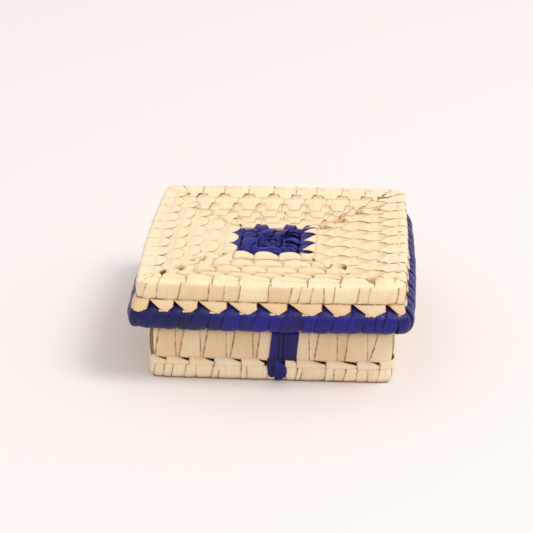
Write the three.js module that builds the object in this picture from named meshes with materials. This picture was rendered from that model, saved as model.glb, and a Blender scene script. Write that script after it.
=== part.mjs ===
// Woven lidded box: a square keepsake box in coiled palm-leaf basketry, with a slip-over lid.
// Every wall is a bundle of leaf ribs wrapped in leaf strip and laid in square rounds.
// Millimetres, +Z up. The origin is under the middle of the box, on the surface it stands on.
import * as THREE from 'three';

// Driving sizes of the whole box
const BOX_WIDTH = 92.8;
const BOX_HEIGHT = 34.4;
const LID_SKIRT = 10.4;

// Clearances: between rounds of one coil, between pieces that seat, at a strip's ends, and between
// the lid's rim and the box at the middle of a side
const ROUND_GAP = 0.55;
const SEAT_GAP = 0.3;
const SEAM_GAP = 0.5;
const LID_CLEARANCE = 2;

// The wrapping: how thick it lies on the bundle, how loosely, and how far each lap stands up
const WRAP_THICKNESS = 1.15;
const BUNDLE_CLEARANCE = 0.5;
const LAP_RELIEF = 0.45;

// Flat cut under everything that the box stands on
const FOOT_CUT = 0.5;

// Flat coil of the lid's top with its starting knot, and where its middle has drifted to
const LID_COIL = { width: 6.2, height: 6.1, knot: 7.9, stitch: 8.3, bow: 1.3, cornerRadius: 2.4 };
const LID_DRIFT = { x: -1.2, y: -3.6 };
const BLUE_ROUND_COUNT = 2;

// Blue rim round, which slips over the box and stands proud of the lid's edge round
const RIM = { width: 5.8, proud: 3, stitch: 9.4, cornerRadius: 4.6 };

// Triangular stitches that hang from the lid's edge round over the rim's shoulder: how far they
// stand off the shoulder at its top and at their tips, and how thick they are
const FLAP = { stitch: 11, root: 1.2, slack: 0.15, hang: 0.2, thickness: 0.5, lip: 0.1 };

// Floor coil with its starting knot, and edge round of the box
const FLOOR_COIL = { width: 6.2, height: 6.2, knot: 11.8, stitch: 8.3, bow: 0.3, cornerRadius: 3.2 };

// Fin-shaped stitches that rise from the edge round over the foot of the wall
const FIN = { stitch: 10.3, height: 3.2, thickness: 0.9, stub: 0.15 };

// The two tall rounds of the wall
const WALL = { width: 5, seam: 21.4, chamfer: 1.2, stitch: 10.3 };

// Blue stripe on the front, from its left edge to the right
const STRIPE = { left: -0.8, wrapsWidth: 10.2, stitchWidth: 6.2 };
const STRIPE_WRAPS = 3;

// How the rounds are walked: half the length of a step out, how much of a side a corner takes, and
// where the ends of strips and bundles are hidden
const STEP_REACH = 4.6;
const CORNER_REACH = 4.4;
const SEAM_RUN = 22;

// Shares of the pieces that they are named for
const CORNER_ROOM_SHARE = 0.8;
const CORNER_RISE_SHARE = 0.5;
const TAPER_SHARE = 0.24;
const LAP_SHARE = 0.94;
const FIN_FLAT_SHARE = 0.36;
const SLOPE_SHARE = { across: 0.42, fall: 0.5 };
const FLAP_FALL_SHARE = 0.7;
const BELLY_SHARE = 0.56;
const BROW_SHARE = 0.66;
const SHOULDER_SHARE = 0.68;
const ROUND_CUT_SHARE = { across: 0.5, up: 0.65 };
const STUB_SHARE = 0.03;
const KNOT_BEVEL_SHARE = 0.22;
const KNOT_CORNER_SHARE = 0.5;

// The rim's sloping shoulder: how far it is cut back, and how far it falls
const RIM_SHOULDER = RIM.width * SLOPE_SHARE.across;
const RIM_FALL = LID_SKIRT * SLOPE_SHARE.fall;

// Colours and finish of the leaf
const NATURAL_LEAF = { color: 0xf0dcae, roughness: 0.62, metalness: 0 };
const BLUE_LEAF = { color: 0x352c92, roughness: 0.48, metalness: 0 };
const LEAF_RIB = { color: 0xc9a970, roughness: 0.85, metalness: 0 };

const { lerp } = THREE.MathUtils;

// The four sides of a square round, in the order it is walked, anticlockwise from above
const makeSide = (outX, outY) => ({
  out: new THREE.Vector2(outX, outY),
  along: new THREE.Vector2(-outY, outX),
});
const FRONT = makeSide(0, -1);
const RIGHT = makeSide(1, 0);
const BACK = makeSide(0, 1);
const LEFT = makeSide(-1, 0);
const SIDES = [FRONT, RIGHT, BACK, LEFT];
const nextSide = (side) => SIDES[(SIDES.indexOf(side) + 1) % SIDES.length];

// A lay is what the rounds of one coil share. `half` is half the width of its outermost round over
// the centre line, `drift` is where the middle of the coil has moved to, and `spacing` is the
// distance from one round to the next.
function makeLay({ half, width, gap = 0, bow, cornerRadius, drift = new THREE.Vector2() }) {
  return { half, width, spacing: width + gap, gap, bowShare: bow / half, cornerRadius, drift };
}

// The lay of a flat coil: as many rounds as fit between its knot and the edge round, evenly spaced
function flatLay(edgeLay, coil, drift) {
  const room = edgeLay.half - (coil.width + coil.knot) / 2 - ROUND_GAP;
  const rounds = Math.round(room / (coil.width + ROUND_GAP));
  const spacing = room / rounds;
  const half = edgeLay.half + (spacing - ROUND_GAP - coil.width) / 2;
  return { ...makeLay({ ...coil, half, gap: ROUND_GAP, drift }), spacing, rounds };
}

const roundCentre = (lay, half) => lay.drift.clone().multiplyScalar(1 - half / lay.half);

// Rounds crowd together on the side that the middle drifts to, and the coil there is narrower.
function widthShare(lay, out) {
  const crowding = 1 - out.dot(lay.drift) / lay.half;
  return (lay.spacing * crowding - lay.gap) / lay.width;
}

const cornerReach = (half) => Math.min(CORNER_REACH, (half - STEP_REACH) * CORNER_ROOM_SHARE);

// A station is one place on a round where a section stands: its origin on the centre line, the way
// and scale in which the section reaches outward, and how far the wrap has risen there.
function sideStation(lay, side, half, run, rise, { shift = 0, narrow = 1 } = {}) {
  const bowed = half - lay.bowShare * run * run / half + shift;
  const origin = roundCentre(lay, half)
    .addScaledVector(side.out, bowed)
    .addScaledVector(side.along, run);
  const reach = side.out.clone().multiplyScalar(widthShare(lay, side.out) * narrow);
  return { origin, reach, rise, outerShare: 1 };
}

// At a corner the section stands on the mitre, with its outer half drawn in to round the corner off.
function cornerStation(lay, side, half, rise) {
  const next = nextSide(side);
  const cornerHalf = half * (1 - lay.bowShare);
  const origin = roundCentre(lay, half)
    .addScaledVector(side.out, cornerHalf)
    .addScaledVector(next.out, cornerHalf);
  const reach = side.out.clone().multiplyScalar(widthShare(lay, side.out))
    .addScaledVector(next.out, widthShare(lay, next.out));
  const outerShare = 1 - (1 - Math.SQRT1_2) * lay.cornerRadius / (lay.width / 2);
  return { origin, reach, rise, outerShare };
}

// Wrap patterns. Each lists, for one wrap, the shares of its length at which sections stand and the
// rise there: a lap rises along the walk, a fin falls along it, and a bundle runs plain.
const lapPattern = (stitch) => ({
  stitch,
  steps: [[0, 0], [LAP_SHARE, 1]],
  cornerRise: CORNER_RISE_SHARE,
});
const flapPattern = (stitch) => ({
  stitch,
  steps: [[0, 0], [LAP_SHARE, 1]],
  sideEnd: [[1, 0]],
  cornerRise: 0,
});
const finPattern = (stitch) => ({
  stitch,
  steps: [[0, 1], [FIN_FLAT_SHARE, 1], [LAP_SHARE, 0]],
  cornerRise: 0,
});
const plainPattern = { steps: [[0, 1], [0.5, 1], [1, 1]], cornerRise: 1 };

// The wraps from one run to another along a side. A flap ends sharply before the corner.
function wrapStations(lay, side, half, from, to, { stitch, steps, sideEnd = [] }) {
  const count = stitch ? Math.max(1, Math.round((to - from) / stitch)) : 1;
  const stations = [];
  for (let wrap = 0; wrap < count; wrap += 1) {
    for (const [share, rise] of wrap < count - 1 ? steps : [...steps, ...sideEnd]) {
      stations.push(sideStation(lay, side, half, lerp(from, to, (wrap + share) / count), rise));
    }
  }
  return stations;
}

// One round that isn't closed: from a run on one side all the way back to another run on that side
function ringStations(lay, side, fromRun, toRun, pattern) {
  const { half } = lay;
  const end = half - cornerReach(half);
  const stations = wrapStations(lay, side, half, fromRun, end, pattern);
  let at = side;
  do {
    stations.push(cornerStation(lay, at, half, pattern.cornerRise));
    at = nextSide(at);
    stations.push(...wrapStations(lay, at, half, -end, at === side ? toRun : end, pattern));
  } while (at !== side);
  if (pattern.stitch && !pattern.sideEnd) stations.push(sideStation(lay, side, half, toRun, 1));
  return stations;
}

// A square spiral from one round out to another, counted in from the outermost. Each round steps out
// to the next in the middle of the back, where all the steps lie side by side. A coil may start on a
// step, where another strip ends, and its free ends may narrow to a point beside a step.
function spiralStations(lay, [first, last], pattern, { onStep, nose, tail } = {}) {
  const halfOf = (round) => lay.half - round * lay.spacing;
  const stations = nose ? noseStations(lay, halfOf(first)) : [];
  if (onStep) stations.push(stepStation(lay, halfOf(first + 1)));
  for (let round = first; round >= last; round -= 1) {
    const half = halfOf(round);
    const end = half - cornerReach(half);
    stations.push(...wrapStations(lay, BACK, half, STEP_REACH, end, pattern));
    stations.push(cornerStation(lay, BACK, half, pattern.cornerRise));
    for (const side of [LEFT, FRONT, RIGHT]) {
      stations.push(...wrapStations(lay, side, half, -end, end, pattern));
      stations.push(cornerStation(lay, side, half, pattern.cornerRise));
    }
    stations.push(...wrapStations(lay, BACK, half, -end, -STEP_REACH, pattern));
    if (pattern.stitch) stations.push(sideStation(lay, BACK, half, -STEP_REACH, 1));
  }
  if (tail) stations.push(...tailStations(lay, halfOf(last)));
  return stations;
}

// Where a new strip takes over from the last one, at the foot of a step
function stepStation(lay, half) {
  const stepped = half + lay.spacing * SEAM_GAP / (STEP_REACH * 2);
  return sideStation(lay, BACK, stepped, -STEP_REACH + SEAM_GAP, 0);
}

// A coil's free end lies in the wedge beside a step, and is as wide as the wedge leaves room for.
function taperStation(lay, half, share, room, towardMiddle) {
  const width = lay.width * widthShare(lay, BACK.out);
  const narrow = (room * (width + lay.gap) - lay.gap) / width;
  const shift = (1 - narrow) * width / 2;
  const run = lerp(-STEP_REACH, STEP_REACH, share);
  return sideStation(lay, BACK, half, run, 1, { shift: towardMiddle ? -shift : shift, narrow });
}

const noseStations = (lay, half) => [TAPER_SHARE, 1 - TAPER_SHARE / 2]
  .map((share) => taperStation(lay, half, share, share, true));

const tailStations = (lay, half) => [1 - TAPER_SHARE]
  .map((share) => taperStation(lay, half, share, 1 - share, false));

// Sections are lists of [out, up]: out from the coil's centre line, and up from the ground.

// A round seen end on: flat foot, full belly and rounded crown, sunk where a wrap starts
function loafSection({ width, bottom, top, cut = 0 }, rise) {
  const half = width / 2;
  const sunk = LAP_RELIEF * (1 - rise);
  const flank = half - sunk / 2;
  const brow = half * BROW_SHARE;
  const belly = lerp(bottom, top, BELLY_SHARE);
  const foot = lerp(brow, flank, cut / (belly - bottom + cut));
  return [
    [-foot, bottom], [foot, bottom], [flank, belly],
    [brow, top - sunk], [-brow, top - sunk], [-flank, belly],
  ];
}

// A section with its four edges cut off, sunk evenly where a wrap starts. Its upper outer edge may
// be cut back further, as a shoulder that falls further.
function chamferedSection({ half, bottom, top, across, up, shoulder = across, fall = up }, rise = 1) {
  const sunk = LAP_RELIEF * (1 - rise);
  const wide = half - sunk;
  const low = bottom + sunk / 2;
  const high = top - sunk / 2;
  return [
    [-wide, low + up], [-wide + across, low], [wide - across, low], [wide, low + up],
    [wide, high - fall], [wide - shoulder, high], [-wide + across, high], [-wide, high - up],
  ];
}

// A round bar's section, drawn in by an inset all round
function barSection({ width, bottom, top, shoulder, fall }, rise = 1, inset = 0) {
  const half = width / 2 - inset;
  const tall = (top - bottom) / 2 - inset;
  const across = half * ROUND_CUT_SHARE.across;
  const up = tall * ROUND_CUT_SHARE.up;
  return chamferedSection({
    half,
    bottom: bottom + inset,
    top: top - inset,
    across,
    up,
    shoulder: shoulder ? shoulder * half * 2 / width : across,
    fall: fall ? fall * tall * 2 / (top - bottom) : up,
  }, rise);
}

// The lid's edge round with its skirt: a flap that lengthens as the wrap rises
function flapSection({ width, bottom, top }, rise) {
  const half = width / 2;
  const grown = Math.max(rise, STUB_SHARE);
  const brow = half * BROW_SHARE;
  const crown = top - LAP_RELIEF * (1 - rise);
  const under = bottom + FLAP.lip;
  const bend = half + RIM.proud - RIM_SHOULDER + FLAP.slack;
  const tip = bend + (RIM_SHOULDER * FLAP_FALL_SHARE + FLAP.hang - FLAP.slack) * grown;
  const tipUp = under - RIM_FALL * FLAP_FALL_SHARE * grown;
  return [
    [-brow, bottom], [half - FLAP.thickness, bottom], [bend, under],
    [tip, tipUp], [tip + FLAP.thickness, tipUp + FLAP.thickness / 2],
    [bend + FLAP.thickness, under + FLAP.thickness],
    [half, bottom + FLAP.root], [half, lerp(bottom, top, SHOULDER_SHARE)],
    [brow, crown], [-brow, crown], [-half, lerp(bottom, top, BELLY_SHARE)],
  ];
}

// The box's edge round with a fin on its outer flank, which rises over the foot of the wall
function finSection({ width, bottom, top, cut }, rise) {
  const half = width / 2;
  const brow = half * BROW_SHARE;
  const belly = lerp(bottom, top, BELLY_SHARE);
  const foot = lerp(brow, half, cut / (belly - bottom + cut));
  const finTop = top + lerp(FIN.stub, FIN.height, rise);
  return [
    [-foot, bottom], [foot, bottom], [half, belly], [half, finTop],
    [half - FIN.thickness, finTop], [half - FIN.thickness, top], [-brow, top], [-half, belly],
  ];
}

// A tall wall round whose foot is set back behind the fins
function rebatedSection({ half, bottom, top, chamfer, rebateTop, rebate }, rise) {
  const wide = half - LAP_RELIEF * (1 - rise);
  return [
    [-wide, bottom + chamfer], [-wide + chamfer, bottom],
    [half - rebate, bottom], [half - rebate, rebateTop], [wide, rebateTop],
    [wide, top - chamfer], [wide - chamfer, top], [-wide + chamfer, top], [-wide, top - chamfer],
  ];
}

// Stands a section at each station. `flat` is the section in its own plane, for the end caps.
function standSections(stations, sectionOf) {
  return stations.map(({ origin, reach, rise, outerShare }) => {
    const section = sectionOf(rise);
    const points = section.map(([out, up]) => {
      const reached = out > 0 ? out * outerShare : out;
      return new THREE.Vector3(origin.x + reach.x * reached, origin.y + reach.y * reached, up);
    });
    return { points, flat: section.map(([out, up]) => new THREE.Vector2(out, up)) };
  });
}

// Skins standing sections into a wall of faces
function skinIndices(rings, start, inward) {
  const size = rings[0].points.length;
  const indices = [];
  for (let ring = 0; ring < rings.length - 1; ring += 1) {
    for (let point = 0; point < size; point += 1) {
      const a = start + ring * size + point;
      const b = start + ring * size + (point + 1) % size;
      const c = b + size;
      const d = a + size;
      indices.push(...(inward ? [a, c, b, a, d, c] : [a, b, c, a, c, d]));
    }
  }
  return indices;
}

// Closes one end of a coil: the whole section, or the part of it round the bundle
function capIndices(outline, outlineStart, cavity, cavityStart, backward) {
  const corners = [...outline, ...cavity];
  const vertexOf = (index) => {
    const beyond = index - outline.length;
    return beyond < 0 ? outlineStart + index : cavityStart + beyond;
  };
  const holes = cavity.length ? [[...cavity]] : [];
  const faces = THREE.ShapeUtils.triangulateShape([...outline], holes);
  const areaOf = (face) => THREE.ShapeUtils.area(face.map((index) => corners[index]));
  const area = faces.reduce((sum, face) => sum + areaOf(face), 0);
  const turned = (area * THREE.ShapeUtils.area(outline) > 0) === backward;
  return faces.flatMap((face) => (turned ? face.map(vertexOf).reverse() : face.map(vertexOf)));
}

// Joins standing sections into a closed body. With a cavity it is a sleeve that has room for the
// bundle, open at an end unless that end is blind.
function loftGeometry(rings, cavityRings = [], { blindStart, blindEnd } = {}) {
  const points = [...rings, ...cavityRings].flatMap((ring) => ring.points);
  const cavityStart = rings.length * rings[0].points.length;
  const indices = skinIndices(rings, 0, false);
  if (cavityRings.length) indices.push(...skinIndices(cavityRings, cavityStart, true));
  const close = (blind, ring, cavityRing, backward) => {
    const outline = rings.at(ring).flat;
    const outlineStart = ring ? cavityStart - outline.length : 0;
    const cavity = cavityRings.length ? cavityRings.at(cavityRing).flat : [];
    const cavityEnd = ring ? points.length - cavity.length : cavityStart;
    if (!blind) indices.push(...capIndices(outline, outlineStart, cavity, cavityEnd, backward));
    if (blind) indices.push(...capIndices(outline, outlineStart, [], 0, backward));
    if (blind) indices.push(...capIndices(cavity, cavityEnd, [], 0, !backward));
  };
  close(blindStart, 0, 0, true);
  close(blindEnd, -1, -1, false);
  return facingOut(new THREE.BufferGeometry().setFromPoints(points), indices);
}

// Turns the faces over if they enclose a negative volume
function facingOut(geometry, indices) {
  const position = geometry.getAttribute('position');
  const corners = [new THREE.Vector3(), new THREE.Vector3(), new THREE.Vector3()];
  let volume = 0;
  for (let face = 0; face < indices.length; face += 3) {
    corners.forEach((corner, index) => corner.fromBufferAttribute(position, indices[face + index]));
    volume += corners[0].dot(corners[1].cross(corners[2]));
  }
  geometry.setIndex(volume < 0 ? [...indices].reverse() : indices);
  return geometry;
}

function namedMesh(name, geometry, finish) {
  const mesh = new THREE.Mesh(geometry, new THREE.MeshStandardMaterial(finish));
  mesh.name = name;
  return mesh;
}

// Least distance between the rounds of one unbroken coil, taken on points along its two flanks. Two
// points less than half a round apart along the coil are its own neighbours and don't count.
function leastSelfGap(stations, width) {
  const flanks = [];
  let travelled = 0;
  stations.slice(1).forEach((to, index) => {
    const from = stations[index];
    const length = from.origin.distanceTo(to.origin);
    const count = Math.max(1, Math.round(length / ROUND_GAP));
    for (let step = 0; step < count; step += 1) {
      const share = step / count;
      const origin = from.origin.clone().lerp(to.origin, share);
      const reach = from.reach.clone().lerp(to.reach, share);
      const outerShare = lerp(from.outerShare, to.outerShare, share);
      flanks.push({
        inner: origin.clone().addScaledVector(reach, -width / 2),
        outer: origin.clone().addScaledVector(reach, outerShare * width / 2),
        travelled: travelled + length * share,
        nearby: 4 * Math.max(Math.abs(origin.x), Math.abs(origin.y)),
      });
    }
    travelled += length;
  });
  let least = Infinity;
  for (const here of flanks) {
    for (const there of flanks) {
      if (there.travelled - here.travelled < here.nearby) continue;
      least = Math.min(least, here.outer.distanceTo(there.inner));
    }
  }
  return least;
}

const report = (name, gap) => console.log(`${name}: least gap to itself ${gap.toFixed(2)} mm`);

// A flat coil wound as a square spiral, with a cavity for its bundle that is blind behind a nose or tail
function flatCoil(name, lay, coil, rounds, ends, finish) {
  const stations = spiralStations(lay, rounds, lapPattern(coil.stitch), ends);
  const cavityStations = spiralStations(lay, rounds, plainPattern, { onStep: ends.onStep });
  report(name, leastSelfGap(stations, coil.width));
  const rings = standSections(stations, (rise) => loafSection(coil, rise));
  const cavityRings = standSections(cavityStations, () => flatBundle(coil, WRAP_THICKNESS));
  const geometry = loftGeometry(rings, cavityRings, { blindStart: ends.nose, blindEnd: ends.tail });
  return namedMesh(name, geometry, finish);
}

// The bundle inside flat coils, which stops short of their free ends
function bundleSpiral(name, lay, coil, rounds) {
  const stations = spiralStations(lay, rounds, plainPattern).slice(1, -1);
  report(name, leastSelfGap(stations, coil.width - WRAP_THICKNESS * 2));
  const section = flatBundle(coil, WRAP_THICKNESS + BUNDLE_CLEARANCE);
  return namedMesh(name, loftGeometry(standSections(stations, () => section)), LEAF_RIB);
}

// A flat coil's bundle is pressed square.
function flatBundle({ width, bottom, top }, inset) {
  const half = width / 2 - inset;
  return [[-half, bottom + inset], [half, bottom + inset], [half, top - inset], [-half, top - inset]];
}

// The starting knot in the middle of a flat coil
function coilKnot(name, lay, coil, finish) {
  const half = coil.knot / 2;
  const bevel = half * KNOT_BEVEL_SHARE;
  const flat = half - bevel;
  const turn = flat * KNOT_CORNER_SHARE;
  const outline = new THREE.Shape();
  outline.moveTo(turn - flat, -flat);
  outline.absarc(flat - turn, turn - flat, turn, -Math.PI / 2, 0, false);
  outline.absarc(flat - turn, flat - turn, turn, 0, Math.PI / 2, false);
  outline.absarc(turn - flat, flat - turn, turn, Math.PI / 2, Math.PI, false);
  outline.absarc(turn - flat, turn - flat, turn, Math.PI, Math.PI * 1.5, false);
  const geometry = new THREE.ExtrudeGeometry(outline, {
    depth: coil.top - coil.bottom - bevel * 2,
    bevelThickness: bevel,
    bevelSize: bevel,
    bevelSegments: 1,
    curveSegments: 2,
  });
  const centre = roundCentre(lay, lay.half - lay.rounds * lay.spacing);
  geometry.translate(centre.x, centre.y, coil.bottom + bevel);
  return namedMesh(name, geometry, finish);
}

// The wrapping of a round, open at a seam, with a cavity for its bundle
function wrappedRound(name, lay, side, [fromRun, toRun], pattern, sectionOf, cavity, finish) {
  const stations = ringStations(lay, side, fromRun, toRun, pattern);
  report(name, stations[0].origin.distanceTo(stations.at(-1).origin));
  const cavityStations = ringStations(lay, side, fromRun, toRun, plainPattern);
  const rings = standSections(stations, sectionOf);
  return namedMesh(name, loftGeometry(rings, standSections(cavityStations, () => cavity)), finish);
}

// The bundle inside a round, with its own splice on another side
function bundleRound(name, lay, side, section) {
  const stations = ringStations(lay, side, SEAM_RUN + SEAM_GAP, SEAM_RUN, plainPattern);
  report(name, stations[0].origin.distanceTo(stations.at(-1).origin));
  return namedMesh(name, loftGeometry(standSections(stations, () => section)), LEAF_RIB);
}

// Wraps of another colour that fill the seam of a round on its front
function stripeWraps(name, lay, [fromRun, toRun], wraps, sectionOf, cavity) {
  const pattern = lapPattern((toRun - fromRun) / wraps);
  const stations = wrapStations(lay, FRONT, lay.half, fromRun, toRun, pattern);
  stations.push(sideStation(lay, FRONT, lay.half, toRun, 1));
  const ends = [fromRun, toRun].map((run) => sideStation(lay, FRONT, lay.half, run, 1));
  const rings = standSections(stations, sectionOf);
  return namedMesh(name, loftGeometry(rings, standSections(ends, () => cavity)), BLUE_LEAF);
}

// What the sections of a round bar leave free for its bundle, and the bundle itself
const barCavity = (bar) => barSection(bar, 1, WRAP_THICKNESS);
const barBundle = (bar) => barSection(bar, 1, WRAP_THICKNESS + BUNDLE_CLEARANCE);

function makeLid() {
  const slope = { shoulder: RIM_SHOULDER, fall: RIM_FALL };
  const rim = { ...RIM, ...slope, bottom: BOX_HEIGHT - LID_SKIRT, top: BOX_HEIGHT };
  const rimHalf = BOX_WIDTH / 2 + LID_CLEARANCE + RIM.width / 2;
  const rimLay = makeLay({ ...RIM, half: rimHalf, bow: LID_COIL.bow });

  const bottom = BOX_HEIGHT + SEAT_GAP;
  const coil = { ...LID_COIL, bottom, top: bottom + LID_COIL.height };
  const edgeHalf = rimHalf + RIM.width / 2 - RIM.proud - coil.width / 2;
  const edgeLay = makeLay({ ...coil, half: edgeHalf });
  const topLay = flatLay(edgeLay, coil, new THREE.Vector2(LID_DRIFT.x, LID_DRIFT.y));
  const naturalCount = topLay.rounds - BLUE_ROUND_COUNT;
  const blueRounds = [topLay.rounds, naturalCount + 1];
  const seam = [SEAM_RUN + SEAM_GAP, SEAM_RUN];

  const lid = new THREE.Group();
  lid.add(
    coilKnot('lid_centre_knot', topLay, coil, BLUE_LEAF),
    flatCoil('lid_centre_coil', topLay, coil, blueRounds, { nose: true }, BLUE_LEAF),
    flatCoil('lid_top_coil', topLay, coil, [naturalCount, 1], { onStep: true, tail: true }, NATURAL_LEAF),
    bundleSpiral('lid_top_bundle', topLay, coil, [topLay.rounds, 1]),
    wrappedRound('lid_edge_coil', edgeLay, BACK, seam, flapPattern(FLAP.stitch),
      (rise) => flapSection(coil, rise), barCavity(coil), NATURAL_LEAF),
    bundleRound('lid_edge_bundle', edgeLay, LEFT, barBundle(coil)),
    wrappedRound('lid_rim_coil', rimLay, BACK, seam, lapPattern(RIM.stitch),
      (rise) => barSection(rim, rise), barCavity(rim), BLUE_LEAF),
    bundleRound('lid_rim_bundle', rimLay, LEFT, barBundle(rim)),
  );
  return lid;
}

function makeFloor() {
  const coil = { ...FLOOR_COIL, bottom: 0, top: FLOOR_COIL.height, cut: FOOT_CUT };
  const edgeLay = makeLay({ ...coil, half: (BOX_WIDTH - coil.width) / 2 });
  const floorLay = flatLay(edgeLay, coil);
  const stitch = [STRIPE.left, STRIPE.left + STRIPE.stitchWidth];
  const seam = [stitch[1] + SEAM_GAP, stitch[0] - SEAM_GAP];
  const floor = new THREE.Group();
  floor.add(
    coilKnot('floor_centre_knot', floorLay, coil, NATURAL_LEAF),
    flatCoil('floor_coil', floorLay, coil, [floorLay.rounds, 1], { nose: true }, NATURAL_LEAF),
    bundleSpiral('floor_bundle', floorLay, coil, [floorLay.rounds, 1]),
    wrappedRound('box_edge_coil', edgeLay, FRONT, seam, finPattern(FIN.stitch),
      (rise) => finSection(coil, rise), barCavity(coil), NATURAL_LEAF),
    bundleRound('box_edge_bundle', edgeLay, LEFT, barBundle(coil)),
    stripeWraps('stripe_edge_stitch', edgeLay, stitch, 1,
      () => finSection(coil, 1), barCavity(coil)),
  );
  return floor;
}

// The two tall rounds of the wall. The lower one is set back at its foot, behind the fins.
function makeWall() {
  const lay = makeLay({ ...FLOOR_COIL, ...WALL, half: (BOX_WIDTH - WALL.width) / 2 });
  const stripe = [STRIPE.left, STRIPE.left + STRIPE.wrapsWidth];
  const seam = [stripe[1] + SEAM_GAP, stripe[0] - SEAM_GAP];
  const half = WALL.width / 2;
  const finsTop = FLOOR_COIL.height + FIN.height + SEAT_GAP;
  const lower = {
    half,
    bottom: FLOOR_COIL.height + SEAT_GAP,
    top: WALL.seam,
    chamfer: WALL.chamfer,
    rebateTop: finsTop,
    rebate: FIN.thickness + SEAT_GAP,
  };
  const neck = {
    half,
    bottom: WALL.seam + SEAT_GAP,
    top: BOX_HEIGHT,
    across: WALL.chamfer,
    up: WALL.chamfer,
  };
  const hollow = (bottom, top, inset) => chamferedSection({
    half: half - inset,
    bottom: bottom + inset,
    top: top - inset,
    across: (half - inset) * ROUND_CUT_SHARE.across,
    up: (half - inset) * ROUND_CUT_SHARE.across,
  });
  const bundleInset = WRAP_THICKNESS + BUNDLE_CLEARANCE;
  const wall = new THREE.Group();
  wall.add(
    wrappedRound('wall_coil', lay, FRONT, seam, lapPattern(WALL.stitch),
      (rise) => rebatedSection(lower, rise), hollow(finsTop, lower.top, WRAP_THICKNESS), NATURAL_LEAF),
    bundleRound('wall_bundle', lay, LEFT, hollow(finsTop, lower.top, bundleInset)),
    stripeWraps('stripe_wall_wraps', lay, stripe, STRIPE_WRAPS,
      (rise) => rebatedSection(lower, rise), hollow(finsTop, lower.top, WRAP_THICKNESS)),
    wrappedRound('neck_coil', lay, FRONT, seam, lapPattern(WALL.stitch),
      (rise) => chamferedSection(neck, rise), hollow(neck.bottom, neck.top, WRAP_THICKNESS), NATURAL_LEAF),
    bundleRound('neck_bundle', lay, RIGHT, hollow(neck.bottom, neck.top, bundleInset)),
    stripeWraps('stripe_neck_wraps', lay, stripe, STRIPE_WRAPS,
      (rise) => chamferedSection(neck, rise), hollow(neck.bottom, neck.top, WRAP_THICKNESS)),
  );
  return wall;
}

const wovenBox = new THREE.Group();
wovenBox.add(makeFloor(), makeWall(), makeLid());

export default wovenBox;
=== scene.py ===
"""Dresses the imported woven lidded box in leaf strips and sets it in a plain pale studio.

Each coil of the box is rebuilt from the single passes of leaf that wrap and stitch it. Lengths in
this file are millimetres, and a mesh turns them into metres when it is made.
"""
import logging
import math
from dataclasses import dataclass, field, replace
from enum import Enum
from typing import NamedTuple

import bpy
import numpy as np
from mathutils import Matrix, Vector


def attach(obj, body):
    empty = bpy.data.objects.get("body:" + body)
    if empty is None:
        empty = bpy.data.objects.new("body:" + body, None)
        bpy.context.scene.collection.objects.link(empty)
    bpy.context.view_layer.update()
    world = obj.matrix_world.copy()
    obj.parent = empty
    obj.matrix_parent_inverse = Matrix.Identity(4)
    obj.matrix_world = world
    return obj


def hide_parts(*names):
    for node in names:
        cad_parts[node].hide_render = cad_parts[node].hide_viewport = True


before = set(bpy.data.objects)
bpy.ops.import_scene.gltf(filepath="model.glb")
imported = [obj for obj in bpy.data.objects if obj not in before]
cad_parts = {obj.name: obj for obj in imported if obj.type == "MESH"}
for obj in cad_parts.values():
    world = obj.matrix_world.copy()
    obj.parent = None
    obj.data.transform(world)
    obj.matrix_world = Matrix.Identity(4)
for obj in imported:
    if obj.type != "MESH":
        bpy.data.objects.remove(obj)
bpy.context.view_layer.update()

LOG = logging.getLogger("woven_box")
METRES = 0.001
SEED = 1907

Span = tuple[float, float]
Colour = tuple[float, float, float, float]
Socket = bpy.types.NodeSocket
Generator = np.random.Generator

# How much of a round its turned corner takes, and how far from a corner the stitches start to fan
CORNER_REACH = 4.4
FAN_REACH = 9.0
FAN_SHARE = 0.85
RUN_STEPS = 181

# How fast the middle of a coil that drifted comes back to the middle of the box towards its edge
DRIFT_POWER = 4

# Shares of a strip's width at which its columns of points stand, closer near its two edges
COLUMN_SHARES = np.array([0.0, 0.05, 0.16, 0.33, 0.5, 0.67, 0.84, 0.95, 1.0])

# How unevenly leaf lies, and how far apart on one endless leaf the strips may be cut from
RIPPLE = 0.03
LEAF_REACH = 400

# The names of a mesh's layers: place on leaf, way from edge and end, tone and green, painted hollow shade
LAYERS = ("leaf", "edge", "strip", "hollow")

# Leaf on a mesh with edges sharper than this, in degrees, is creased
SHARP_ANGLE = 50

# The ground under the box: nothing that rides on the box reaches below it
GROUND = 0.02

# Where rounds stand apart, leaf above this height in the lid sinks, fully so from a little above it,
# and is painted with shade a little further round about
PIT_FLOOR = 37.0
PIT_RISE = 2.0
PIT_SHADE_SHARE = 1.2


class Side(Enum):
    """A side of a square round, in the order in which a round is walked, anticlockwise from above."""

    FRONT = 0
    RIGHT = 1
    BACK = 2
    LEFT = 3


SIDE_OUT = np.array([(0.0, -1.0), (1.0, 0.0), (0.0, 1.0), (-1.0, 0.0)])
SIDE_ALONG = np.array([(1.0, 0.0), (0.0, 1.0), (-1.0, 0.0), (0.0, -1.0)])
UNSEEN_SIDES = (Side.RIGHT, Side.BACK, Side.LEFT)


class TipShape(Enum):
    """How a stitch looks where it comes up through the round inside it."""

    POINTED = "pointed"
    SLANTED = "slanted"
    ROUNDED = "rounded"
    SQUARE = "square"


class Leaf(Enum):
    """A finish that leaf has on the box."""

    # The flat coils' leaf; where it looks paler on faces that look up, that is painted light laid by each
    # row's pale.
    TOP = "sun-pale leaf on flat coils"
    SIDE = "leaf with browned edges on walls"
    BLUE = "blue-dyed leaf"
    RIB = "split leaf rib"


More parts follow.
